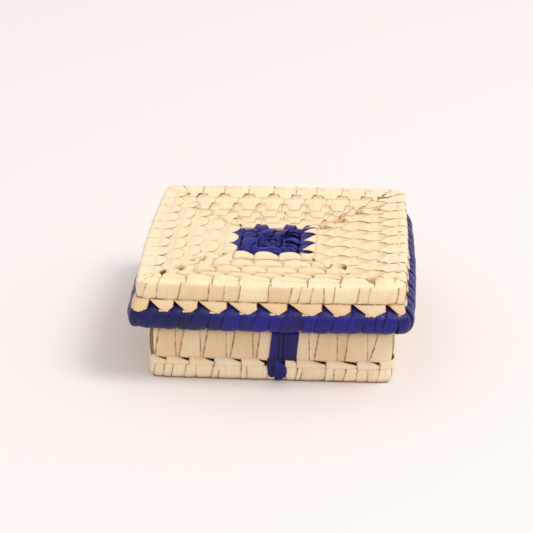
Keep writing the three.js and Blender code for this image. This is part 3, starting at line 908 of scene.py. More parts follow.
@dataclass(frozen=True)
class RibBundle:
    """The bundle of split leaf ribs inside a coil: one rod in its middle and the others round it."""

    lay: Lay
    halves: tuple[float, ...]
    across: float
    low: float
    high: float
    rods: int = 7
    girth: float = 0.62
    end_gap: float = 0.6
    wander: float = 0.12
    wander_length: float = 9.0
    rod_shares: tuple[float, ...] = (-1.0, -0.6, 0.0, 0.6, 1.0)

    def fill(self, mesh: StripMesh) -> StripMesh:
        """Adds the rods to a mesh.

        Args:
            mesh: The strips to add to.

        Returns:
            The same mesh.
        """
        middle, tall = (self.low + self.high) / 2, (self.high - self.low) / 2 - self.girth
        wide = self.across / 2 - self.girth
        for half in self.halves:
            ring = Round(self.lay, half, mesh)
            stations = np.linspace(self.end_gap, 8 * half - self.end_gap, max(24, int(half * 2.4)))
            for rod in range(self.rods):
                angle = 2 * math.pi * rod / (self.rods - 1)
                spread = 0.0 if rod == self.rods - 1 else 1.0
                wander = self.wander * np.sin(stations / self.wander_length + rod)
                out = wide * math.cos(angle) * spread + wander
                up = middle + tall * math.sin(angle) * spread + wander * 0.6
                self._rod(ring, stations, out, up)
        return mesh

    def _rod(self, ring: Round, stations: np.ndarray, out: np.ndarray, up: np.ndarray) -> None:
        """Adds one rod as a slab that is nearly as thick as it is wide.

        Args:
            ring: The round that it lies in.
            stations: Places along the round.
            out: How far the rod is outside the centre line at each.
            up: Its height at each.
        """
        shares = np.array(self.rod_shares)
        offset = shares[None, :] * self.girth
        grid = ring.place(stations[:, None] + 0 * offset, out[:, None] - offset, up[:, None] + 0 * offset)
        lift = self.girth * np.sqrt(np.maximum(1 - shares**2, 0.1)) * np.ones((len(stations), 1))
        ring.mesh.add(grid, lift, self.girth * 1.5)


@dataclass(frozen=True)
class CentreKnot:
    """The knot that a flat coil starts from: a few short bands of leaf folded over one another.

    `turns` are the ways that the bands run, in degrees, and each band stands up by `rise` more than
    the one under it.
    """

    centre: Span
    half: float
    shape: FlatCoilShape
    bulge: float = 0.9
    rise: float = 0.14
    turns: tuple[float, ...] = (8.0, 98.0, 52.0, -38.0, 20.0)
    band_thickness: float = 0.26
    band_crown: float = 0.2
    squareness: float = 0.6

    def fill(self, mesh: StripMesh) -> StripMesh:
        """Adds the bands to a mesh.

        Args:
            mesh: The strips to add to.

        Returns:
            The same mesh.
        """
        for order, turn in enumerate(self.turns):
            self._band(mesh, math.radians(turn), order)
        return mesh

    def _band(self, mesh: StripMesh, turn: float, order: int) -> None:
        """Adds one band that goes right round the knot.

        Args:
            mesh: The strips to add to.
            turn: The way that the band runs, in radians.
            order: How many bands lie under it.
        """
        angles = np.linspace(-0.5 * math.pi, 1.42 * math.pi, 25)
        middle, tall = (self.shape.top + self.shape.bottom) / 2, (self.shape.top - self.shape.bottom) / 2
        ways = (np.cos(angles), np.sin(angles))
        flat, upright = (np.sign(way) * np.abs(way) ** self.squareness for way in ways)
        along = -(self.half * (0.9 + 0.02 * order)) * flat[:, None]
        lifted = np.where(np.sin(angles) > 0, self.bulge * 0.5 + self.rise * order, 0.0)
        up = middle + upright * tall + lifted
        across = (COLUMN_SHARES[None, :] - 0.5) * (self.half * 0.95)
        x = self.centre[0] + along * math.cos(turn) + across * math.sin(turn)
        y = self.centre[1] + along * math.sin(turn) - across * math.cos(turn)
        grid = np.stack([x, y, up[:, None] + 0 * across], axis=-1)
        lift = self.band_crown * np.sin(np.pi * COLUMN_SHARES)[None, :] * np.ones((len(angles), 1))
        mesh.add(grid[:, ::-1], lift, self.band_thickness)


LID_TOP_LAY = Lay(half=48.1, width=6.2, spacing=6.75, bow=1.3, corner_radius=2.4, drift=(-2.4, -9.0))
LID_EDGE_LAY = Lay(half=48.1, width=6.2, spacing=6.2, bow=1.3, corner_radius=2.4)
RIM_LAY = Lay(half=51.3, width=5.8, spacing=5.8, bow=1.3, corner_radius=4.6)
FLOOR_LAY = Lay(half=43.3, width=6.2, spacing=6.75, bow=0.3, corner_radius=3.2)
BOX_EDGE_LAY = Lay(half=43.3, width=6.2, spacing=6.2, bow=0.3, corner_radius=2.4)
WALL_LAY = Lay(half=43.9, width=5.0, spacing=5.0, bow=0.3, corner_radius=2.0)


@dataclass
class LidTop:
    """The flat coil of the lid: four natural rounds round two blue ones and a blue knot."""

    palette: Palette
    natural_halves: tuple[float, ...] = (21.1, 27.85, 34.6, 41.35)
    blue_halves: tuple[float, ...] = (7.6, 14.35)
    pitches: tuple[float, ...] = (10.6, 9.0, 9.6, 10.3)
    knot_half: float = 3.95
    least_inner_tip: float = 0.85
    inner_tip_rise: float = 0.3
    natural_tones: Span = (0.0, 0.9)
    blue_tones: Span = (0.0, 0.35)
    front_marks: dict[float, list[float]] = field(default_factory=lambda: {
        21.1: [-16.5, -7.4, 1.9, 11.5],
        27.85: [-24.5, -15.8, -6.9, 4.0, 14.6, 23.4],
        34.6: [-31.0, -20.8, -11.5, -1.7, 9.9, 20.3, 29.6],
        41.35: [-37.4, -26.6, -16.2, -6.2, 4.8, 15.8, 26.6, 35.8],
    })
    pits: tuple[Pit, ...] = (
        Pit(23.7, 15.0, 2.5, 4.0), Pit(31.4, 23.6, 1.5, 4.0), Pit(38.8, 28.6, 1.8, 3.0),
        Pit(45.0, 24.4, 1.3, 2.2), Pit(17.2, 7.6, 1.9, 2.6), Pit(37.2, -42.8, 2.1, 4.5),
        Pit(-41.0, -40.4, 1.6, 2.8), Pit(-34.7, -36.0, 1.7, 3.0), Pit(-30.6, -29.8, 1.2, 3.0),
        Pit(-27.2, -27.2, 1.4, 2.2), Pit(-19.7, -24.0, 1.4, 2.0), Pit(45.0, -37.6, 1.2, 2.4))

    def build(self) -> None:
        """Builds the natural rounds, the blue ones, the knot and the bundle."""
        natural, blue = StripMesh("lid_top_wraps", 1), StripMesh("lid_centre_wraps", 2)
        for half in self.natural_halves:
            self._round(Round(LID_TOP_LAY, half, natural, self.pits))
        self.palette.dress(natural, Leaf.TOP, "lid", "lid_top_coil")
        for half in self.blue_halves:
            self._round(Round(LID_TOP_LAY, half, blue))
        self.palette.dress(blue, Leaf.BLUE, "lid", "lid_centre_coil")
        knot = CentreKnot(tuple(LID_TOP_LAY.centre(self.blue_halves[0])), self.knot_half, LID_SHAPE)
        bands = knot.fill(StripMesh("lid_centre_knot_bands", 3))
        self.palette.dress(bands, Leaf.BLUE, "lid", "lid_centre_knot")
        ribs = RibBundle(LID_TOP_LAY, self.blue_halves + self.natural_halves, across=3.2, low=36.1, high=39.4)
        self.palette.dress(ribs.fill(StripMesh("lid_top_ribs", 4)), Leaf.RIB, "lid", "lid_top_bundle")

    def _round(self, ring: Round) -> None:
        """Stitches one round.

        Args:
            ring: The round, with the mesh to add to.
        """
        rng = ring.mesh.rng
        blue = ring.half in self.blue_halves
        least = 3 if ring.half == self.blue_halves[0] else 4
        counts = tuple(max(least, round(2 * ring.half / pitch)) for pitch in self.pitches)
        middle = LID_TOP_LAY.centre(ring.half)[0]
        front = [ring.half + (x - middle) for x in self.front_marks.get(ring.half, ())]
        for start, end, side in ring.stitches(counts, rng.uniform(0.3, 0.7), front=front):
            tip = TIPS[side].loosened(rng)
            if ring.half == self.natural_halves[0]:
                tip = replace(tip, height=max(tip.height + self.inner_tip_rise, self.least_inner_tip))
            if blue:
                tip = replace(tip, **BLUE_TIP)
            passed = LID_SHAPE.stitch(tip, lap=rng.uniform(0.26, 0.46), crown=rng.uniform(0.24, 0.42))
            ring.wrap(start, end, passed, rng.uniform(*(self.blue_tones if blue else self.natural_tones)))


# How far down a flap its rows of points lie, as shares of how far it hangs down
FLAP_DROP_SHARES = (0.0, 0.1, 0.25, 0.42, 0.6, 0.74, 0.88, 1.0)


@dataclass
class LidEdge:
    """The lid's edge round: wraps over its crown and face, and flaps over the rim.

    `wrap_section` and `bar_end` are places in its section, as far out and as high, `tuck_section` those
    of the short end of leaf that shows below a flap, and `tuck_shares` the part of the flap that it takes.
    `corner_flap` is how late the last flap starts, how far it ends past the front left corner, its splay
    and its reach.
    """

    palette: Palette
    half: float = LID_EDGE_LAY.half
    flap_pitch: float = 11.0
    wrap_face: float = 3.1
    flap_face: float = 3.8
    wrap_counts: tuple[int, ...] = (12, 12, 11, 12)
    bar_counts: tuple[int, ...] = (9, 11, 10, 11)
    corner_flap: tuple[float, float, float, float] = (3.5, 4.6, 2.9, 5.6)
    wrap_tones: Span = (0.15, 0.85)
    bar_tones: Span = (0.0, 0.4)
    # The flaps take the darker tones, as painted shade on their hanging faces.
    flap_tones: Span = (0.6, 1.0)
    tuck_tones: Span = (0.0, 0.5)
    flap_reaches: Span = (4.0, 4.4)
    front_splay: float = 1.6
    side_splays: tuple[float, ...] = (0.8, 1.4, 0.8)
    front_wraps: tuple[float, ...] = (
        -46.6, -41.8, -33.5, -22.5, -16.8, -11.1, -0.4, 7.7, 11.1, 15.4, 20.1, 23.8, 32.6, 36.7, 47.1)
    front_flaps: tuple[Span, ...] = (
        (-45.2, -35.5), (-35.7, -26.5), (-26.5, -15.5), (-15.5, -4.4), (-4.2, 6.7), (7.2, 19.6),
        (19.7, 30.2), (30.8, 43.0), (43.8, 50.6))
    front_bars: tuple[float, ...] = (-46.8, -41.0, -31.0, -21.3, -11.3, 0.5, 14.0, 26.1, 38.6)
    pits: tuple[Pit, ...] = (Pit(37.2, -43.6, 1.9, 4.0), Pit(45.2, -40.6, 1.2, 2.0))
    wrap_section: tuple[Span, ...] = (
        (-3.1, 39.6), (-2.2, 40.4), (-0.6, 41.2), (0.9, 41.35), (2.0, 41.3), (2.65, 41.1), (2.95, 40.7),
        (3.05, 40.1), (3.15, 38.4), (3.1, 36.6), (3.0, 35.4), (2.7, 34.85), (2.2, 34.6), (1.4, 34.5),
        (-0.5, 34.5), (-2.2, 34.9), (-3.0, 36.4), (-3.15, 38.2), (-3.0, 39.4))
    bar_end: tuple[Span, ...] = ((1.3, 41.55), (1.9, 41.45), (2.4, 41.2), (2.6, 40.9))
    tuck_section: tuple[Span, ...] = ((4.4, 31.4), (4.9, 31.2), (5.1, 31.05), (5.05, 30.85))
    tuck_shares: Span = (0.4, 0.6)

    def build(self) -> None:
        """Builds the wraps, the bars, the flaps and the bundle."""
        mesh = StripMesh("lid_edge_wraps", 11)
        ring, rng = Round(LID_EDGE_LAY, self.half, mesh, self.pits), mesh.rng
        front = ring.front(self.front_wraps, self.wrap_face)
        for start, end, side in ring.stitches(self.wrap_counts, 0.5, 0.2, front):
            ring.wrap(start, end, self._fitted(self._wrap_path(rng), side), rng.uniform(*self.wrap_tones))
        front = [self.half + run for run in self.front_bars]
        for start, end, side in ring.stitches(self.bar_counts, 0.5, 0.1, front):
            bar = self._fitted(self._bar_path(TIPS[side].loosened(rng), rng), side)
            ring.wrap(start, end, bar, rng.uniform(*self.bar_tones))
        end_rows = tuple(Row(*place) for place in self.tuck_section)
        tuck = Pass(end_rows, lap=0.0, crown=0.05, thickness=0.16, overlap=0.0)
        for start, end, splay, reach in self._flaps(ring):
            ring.wrap(start, end, self._flap_path(rng, splay, reach), rng.uniform(*self.flap_tones))
            if splay > 1:
                shown_from, shown_to = (start + (end - start) * share for share in self.tuck_shares)
                ring.wrap(shown_from, shown_to, tuck, rng.uniform(*self.tuck_tones))
        self.palette.dress(mesh, Leaf.SIDE, "lid", "lid_edge_coil")
        ribs = RibBundle(LID_EDGE_LAY, (self.half,), across=3.0, low=36.2, high=39.3)
        self.palette.dress(ribs.fill(StripMesh("lid_edge_ribs", 12)), Leaf.RIB, "lid", "lid_edge_bundle")

    @staticmethod
    def _fitted(passed: Pass, side: Side) -> Pass:
        """Fits the inner half of a path to where the flat coil ends on that side.

        Args:
            passed: The path round an edge round of even width.
            side: The side that it lies on.

        Returns:
            The fitted path.
        """
        seam = LID_TOP_LAY.seam(side)
        plain = LID_TOP_LAY.spacing / 2
        share = min(max(seam / plain, 0.6), 1.0)
        rows = []
        for row in passed.rows:
            if row.out <= -plain:
                row = row._replace(out=(row.out + plain) * share - seam)
            elif row.out < 0:
                row = row._replace(out=row.out * seam / plain)
            rows.append(row)
        return replace(passed, rows=tuple(rows))

    def _wrap_path(self, rng: Generator) -> Pass:
        """Makes the path of a wrap right round the edge round, upright and almost flat on its face.

        Args:
            rng: Where chance comes from.

        Returns:
            The path of the strip.
        """
        lean = rng.uniform(-0.1, 1.0)
        rows = tuple(Row(out, up, lean=lean * min(max((up - 38) / 3, -1), 1) * (out > 1))
                     for out, up in self.wrap_section)
        return Pass(rows, lap=rng.uniform(0.2, 0.32), crown=0.08)

    def _bar_path(self, tip: TipStyle, rng: Generator) -> Pass:
        """Makes the path of a stitch over the top of the edge round, that ends at its fold.

        Args:
            tip: How the stitch lies on the round inside.
            rng: Where chance comes from.

        Returns:
            The path of the strip.
        """
        held = replace(tip, valley=min(tip.valley, 0.3))
        # Painted hollow shade is kept only on the rows inside the edge round.
        over = [row._replace(hollow=row.hollow * (row.out < -2))
                for row in LID_SHAPE.upper(held) if row.out < 1]
        # The ends of the bars on the edge round's crown are painted fully pale, as painted light.
        ends = [Row(out, up, relief=0.7, pale=1.0) for out, up in self.bar_end]
        return Pass((*over, *ends), lap=rng.uniform(0.3, 0.5), crown=rng.uniform(0.2, 0.35))

    @staticmethod
    def _flap_path(rng: Generator, splay: float, reach: float) -> Pass:
        """Makes the path of a flap: its near edge slants away below, its far edge is upright.

        Args:
            rng: Where chance comes from.
            splay: How far its foot stands out over the rim.
            reach: How far it hangs down.

        Returns:
            The path of the strip.
        """
        keel = rng.uniform(0.4, 0.5)
        rows = []
        for drop in FLAP_DROP_SHARES:
            near = keel * drop / 0.88 if drop <= 0.88 else 0.64
            far = 1.0 if drop <= 0.6 else 1.0 - 0.24 * (drop - 0.6) / 0.4
            rows.append(Row(3.0 + splay * drop**0.8, 35.05 - reach * drop, near, far))
        rows.append(Row(2.5 + splay, 34.8 - reach, 0.66, 0.74))
        return Pass(tuple(rows), lap=0.12, crown=0.34, thickness=0.42, overlap=0.0)

    def _flaps(self, ring: Round) -> list[tuple[float, float, float, float]]:
        """Places the flaps all round the lid.

        Args:
            ring: The edge round.

        Returns:
            For each flap where it starts and ends along the round, its splay and how far it hangs down.
        """
        rng = ring.mesh.rng
        flaps = [(*ring.front(flap, self.flap_face), self.front_splay, rng.uniform(*self.flap_reaches))
                 for flap in self.front_flaps]
        count = round(2 * self.half / self.flap_pitch)
        pitch = 2 * self.half / count
        for side, splay in zip(UNSEEN_SIDES, self.side_splays):
            for index in range(count - (side is Side.LEFT)):
                start = side.value * 2 * self.half + 0.6 + index * pitch + rng.uniform(-0.4, 0.4)
                spread = splay * rng.uniform(0.4, 1.2)
                end = start + pitch * rng.uniform(0.94, 1.0)
                flaps.append((start, end, spread, rng.uniform(*self.flap_reaches)))
        late, past, splay, reach = self.corner_flap
        flaps.append((8 * self.half - pitch + late, 8 * self.half + past, splay, reach))
        return flaps


@dataclass
class LidRim:
    """The blue rim round of the lid, wrapped with a slight lean.

    `front_wraps` are how far across the front each wrap starts and how far it leans. Those before
    `dull_before` have lost some of their colour, and so have those on the left side that start more than
    `dull_after` half widths round the rim.
    """

    palette: Palette
    half: float = RIM_LAY.half
    pitch: float = 6.0
    lean: float = 1.1
    leans: Span = (0.5, 1.6)
    tones: Span = (0.1, 0.65)
    face: float = 2.6
    dull_before: float = -19.0
    dull_after: float = 7.2
    dull_green: float = 0.62
    front_wraps: tuple[Span, ...] = (
        (-48.9, 0.1), (-46.6, 0.9), (-42.2, 0.5), (-37.7, 1.5), (-32.9, 0.6), (-28.5, 1.6), (-22.2, 0.3),
        (-16.9, 0.9), (-10.5, 0.4), (-5.5, 1.2), (0.4, 0.4), (5.1, 1.6), (12.7, 0.5), (17.7, 0.9),
        (23.8, 0.7), (29.4, 1.2), (34.8, 0.2), (39.4, 0.2), (42.5, 1.0), (47.7, 0.1))
    section: tuple[Span, ...] = (
        (-2.6, 33.9), (-1.9, 33.4), (-1.1, 32.5), (-0.3, 31.6), (0.6, 30.9), (1.6, 30.2), (2.3, 29.3),
        (2.65, 28.2), (2.7, 27.1), (2.5, 25.9), (2.0, 24.9), (1.2, 24.3), (0.0, 24.1), (-1.4, 24.4),
        (-2.3, 25.5), (-2.65, 27.5), (-2.8, 29.6), (-2.85, 31.6), (-2.8, 33.3))

    def build(self) -> None:
        """Builds the wraps and the bundle."""
        mesh = StripMesh("lid_rim_wraps", 21)
        ring, rng = Round(RIM_LAY, self.half, mesh), mesh.rng
        count = round(2 * self.half / self.pitch)
        places, leans = zip(*self.front_wraps)
        front_leans = iter(leans)
        for start, end, side in ring.stitches((count,) * 4, 0.4, 0.24, ring.front(places, self.face)):
            dull = (side is Side.FRONT and start - self.half < self.dull_before
                    or side is Side.LEFT and start > self.dull_after * self.half)
            lean = next(front_leans) if side is Side.FRONT else self.lean * rng.uniform(*self.leans)
            passed = self._path(rng, lean)
            ring.wrap(start, end, passed, rng.uniform(*self.tones), self.dull_green if dull else 0.0)
        self.palette.dress(mesh, Leaf.BLUE, "lid", "lid_rim_coil")
        ribs = RibBundle(RIM_LAY, (self.half,), across=2.8, low=26.2, high=30.4)
        self.palette.dress(ribs.fill(StripMesh("lid_rim_ribs", 22)), Leaf.RIB, "lid", "lid_rim_bundle")

    def _path(self, rng: Generator, lean: float) -> Pass:
        """Makes the path of a wrap right round the rim.

        Args:
            rng: Where chance comes from.
            lean: How far its top is pushed along the round, and its foot the other way.

        Returns:
            The path of the strip.
        """
        rows = tuple(Row(out, up, lean=lean * (up - 28.5) / 3.0 * (1 if out > -1 else -1))
                     for out, up in self.section)
        crown = 0.25 + 0.3 * min(lean, 1.0)
        return Pass(rows, lap=rng.uniform(0.4, 0.65), crown=crown * rng.uniform(0.85, 1.1), overlap=0.9)


@dataclass
class BoxFloor:
    """The floor's flat coil with its knot."""

    palette: Palette
    halves: tuple[float, ...] = (9.55, 16.3, 23.05, 29.8, 36.55)
    pitch: float = 9.0
    knot_half: float = 5.9
    knot_bulge: float = 0.5
    tones: Span = (0.1, 0.8)

    def build(self) -> None:
        """Builds the rounds, the knot and the bundle."""
        mesh = StripMesh("floor_wraps", 31, GROUND)
        rng = mesh.rng
        for half in self.halves:
            ring = Round(FLOOR_LAY, half, mesh)
            counts = (max(3, round(2 * half / self.pitch)),) * 4
            for start, end, side in ring.stitches(counts, rng.uniform(0.3, 0.7)):
                passed = FLOOR_SHAPE.stitch(TIPS[side], lap=rng.uniform(0.22, 0.36))
                ring.wrap(start, end, passed, rng.uniform(*self.tones))
        self.palette.dress(mesh, Leaf.TOP, "box", "floor_coil")
        knot = CentreKnot((0.0, 0.0), self.knot_half, FLOOR_SHAPE, self.knot_bulge)
        bands = knot.fill(StripMesh("floor_centre_knot_bands", 32, GROUND))
        self.palette.dress(bands, Leaf.TOP, "box", "floor_centre_knot")
        ribs = RibBundle(FLOOR_LAY, self.halves, across=3.2, low=1.4, high=4.8)
        self.palette.dress(ribs.fill(StripMesh("floor_ribs", 33)), Leaf.RIB, "box", "floor_bundle")


@dataclass
class BoxEdge:
    """The box's edge round: low wraps, and fins that rise over the foot of the wall.

    Each of `front_fins` is where a fin starts, where its flat top ends and where it ends, and each of
    `fin_section` is how far down the fin and how far out its face is. A half of the blue stitch is given
    by the shares of it that are covered at each place of `stitch_section`.
    """

    palette: Palette
    half: float = BOX_EDGE_LAY.half
    pitch: float = 10.4
    low_count: int = 18
    low_face: float = 3.0
    fin_face: float = 3.2
    low_tones: Span = (0.0, 0.4)
    fin_tones: Span = (0.0, 0.35)
    front_low: tuple[float, ...] = (
        -44.4, -40.6, -37.5, -32.5, -28.3, -22.3, -19.7, -11.2, -9.0, -1.0, 6.0, 9.8, 11.6, 20.7, 23.9, 28.0,
        32.6, 36.8, 40.7)
    front_fins: tuple[tuple[float, float, float], ...] = (
        (-45.6, -44.4, -39.7), (-39.5, -35.8, -31.2), (-30.8, -26.0, -21.4), (-21.2, -15.8, -11.2),
        (-11.0, -5.6, -2.6), (5.6, 8.4, 9.8), (9.8, 14.9, 20.7), (21.0, 25.2, 32.4), (32.6, 36.6, 41.2),
        (41.2, 45.5, 50.0))
    low_section: tuple[Span, ...] = (
        (2.3, 6.5), (2.75, 6.2), (2.95, 5.4), (3.05, 4.0), (3.0, 2.4), (2.75, 1.2), (2.1, 0.5), (0.8, 0.3),
        (-0.8, 0.3), (-2.0, 0.6), (-2.7, 1.6), (-3.0, 3.2), (-2.8, 4.9), (-2.0, 5.8), (-0.8, 6.1))
    fin_section: tuple[Span, ...] = (
        (0.0, 2.1), (0.05, 2.7), (0.18, 3.1), (0.36, 3.35), (0.55, 3.45), (0.76, 3.35), (0.93, 3.1),
        (1.0, 2.7))
    stitch: Span = (-1.1, 6.3)
    stitch_left: float = 3.4
    stitch_fold: float = 2.7
    stitch_section: tuple[Span, ...] = (
        (2.6, 9.9), (3.2, 9.4), (3.45, 7.9), (3.45, 6.0), (3.4, 3.9), (3.1, 2.0), (2.5, 0.8), (1.9, 0.6),
        (1.3, 1.2), (0.6, 1.6))
    left_shares: tuple[float, ...] = (0.0, 0.0, 0.0, 0.0, 0.05, 0.14, 0.2, 0.2, 0.2, 0.2)
    right_shares: tuple[float, ...] = (0.3, 0.36, 0.7, 0.95, 1.0, 0.9, 0.82, 0.8, 0.8, 0.8)

    def build(self) -> None:
        """Builds the natural wraps and fins, the blue stitch and the bundle."""
        mesh = StripMesh("box_edge_wraps", 41, GROUND)
        ring, rng = Round(BOX_EDGE_LAY, self.half, mesh), mesh.rng
        front = ring.front(self.front_low, self.low_face)
        for start, end, _ in ring.stitches((self.low_count,) * 4, 0.5, 0.3, front):
            ring.wrap(start, end, self._low_path(rng), rng.uniform(*self.low_tones))
        for start, flat, end in self._fins(ring):
            fin = self._fin_path((flat - start) / (end - start), rng)
            ring.wrap(start, end, fin, rng.uniform(*self.fin_tones))
        self.palette.dress(mesh, Leaf.SIDE, "box", "box_edge_coil")
        blue = Round(BOX_EDGE_LAY, self.half, StripMesh("stripe_edge_fold", 42, GROUND))
        left, right = blue.front(self.stitch, self.fin_face)
        near = [Row(*place, near=share) for place, share in zip(self.stitch_section, self.left_shares)]
        far = [Row(*place, far=share) for place, share in zip(self.stitch_section, self.right_shares)]
        under = Pass(tuple(near), lap=0.16, crown=0.2, thickness=0.3, overlap=0.0)
        blue.wrap(left, left + self.stitch_left, under, tone=0.75)
        blue.wrap(left + self.stitch_fold, right, replace(under, rows=tuple(far), lap=0.5), tone=0.35)
        self.palette.dress(blue.mesh, Leaf.BLUE, "box", "stripe_edge_stitch")
        ribs = RibBundle(BOX_EDGE_LAY, (self.half,), across=3.0, low=1.6, high=4.6)
        self.palette.dress(ribs.fill(StripMesh("box_edge_ribs", 43)), Leaf.RIB, "box", "box_edge_bundle")

    def _low_path(self, rng: Generator) -> Pass:
        """Makes the path of a low wrap: from the crease down the face, under and up inside.

        Args:
            rng: Where chance comes from.

        Returns:
            The path of the strip.
        """
        lean = rng.uniform(-0.1, 1.0)
        rows = tuple(Row(out, up, lean=lean * (up - 3) / 3 * (out > 1)) for out, up in self.low_section)
        return Pass(rows, lap=rng.uniform(0.24, 0.42), crown=0.24)

    def _fin_path(self, flat: float, rng: Generator) -> Pass:
        """Makes the path of a fin, whose top is flat at first and then slopes down to the crease.

        Args:
            flat: The share of it that its flat top takes.
            rng: Where chance comes from.

        Returns:
            The path of the strip.
        """
        high = rng.uniform(9.3, 9.7)
        rows = tuple(Row(out, high - (high - 6.1) * drop, far=flat + (1 - flat) * min(drop / 0.55, 1.0))
                     for drop, out in self.fin_section)
        return Pass(rows, lap=0.3, crown=0.3, thickness=0.34)

    def _fins(self, ring: Round) -> list[tuple[float, float, float]]:
        """Places the fins all round the box.

        Args:
            ring: The edge round.

        Returns:
            For each fin where it starts, where its flat top ends and where it ends.
        """
        rng = ring.mesh.rng
        fins = [tuple(ring.front(fin, self.fin_face)) for fin in self.front_fins]
        count = round(2 * self.half / self.pitch)
        pitch = 2 * self.half / count
        for side in UNSEEN_SIDES:
            for index in range(count):
                start = side.value * 2 * self.half + index * pitch + 6.5 + rng.uniform(-0.5, 0.5)
                flat = start + pitch * rng.uniform(0.34, 0.48)
                fins.append((start, flat, start + pitch * rng.uniform(0.9, 0.98)))
        return fins


@dataclass(frozen=True)
class WallRound:
    """One of the two tall rounds of the wall.

    Its leaf reaches from `foot` to `top` and its ribs from `rib_foot` to `rib_top`. `tilt` is how much
    the far edge of a broad wrap lies above its near one at the foot, and `green` how green each wrap of
    the stripe is.
    """

    name: str
    foot: float
    top: float
    rib_foot: float
    rib_top: float
    rods: int
    green: tuple[float, ...]
    tilt: float = 0.0

    def height(self, up: float) -> float:
        """Returns how far up the face a point is, as a share of the face."""
        lowest = self.foot - 0.2
        return (up - lowest) / (self.top - lowest)

    def rows(self, near: Span, far: Span, length: float) -> list[Row]:
        """Makes the path of a wrap whose two edges slant down the face.

        Args:
            near: How far along its stitch the near edge is at the top and at the foot.
            far: The same for the far edge.
            length: How long the stitch is.

        Returns:
            The rows of its path, up the inside, over the top and down the face.
        """
        foot, top = self.foot, self.top
        middle = (foot + top) / 2
        section = (
            (-1.0, foot - 0.2), (-2.1, foot + 0.2), (-2.5, foot + 1.6), (-2.55, middle), (-2.5, top - 1.6),
            (-2.0, top - 0.5), (-1.0, top), (1.0, top), (2.0, top - 0.5), (2.45, top - 1.6),
            (2.55, top - 4.0), (2.5, middle), (2.4, foot + 3.8), (2.25, foot + 2.4), (1.95, foot + 1.3))
        rows = []
        for out, up in section:
            height = self.height(up) if out > 0 else 1.0
            rows.append(Row(out, up, *((low + (high - low) * height) / length for high, low in (near, far))))
        return rows


WALL_ROUNDS = (
    WallRound("wall", 7.4, 21.2, rib_foot=9.5, rib_top=19.8, rods=11, green=(0.45, 0.4, 0.3, 0.5), tilt=-1.2),
    WallRound("neck", 22.0, 34.1, rib_foot=23.4, rib_top=32.8, rods=9, green=(0.5, 0.5, 0.5, 0.5)),
)


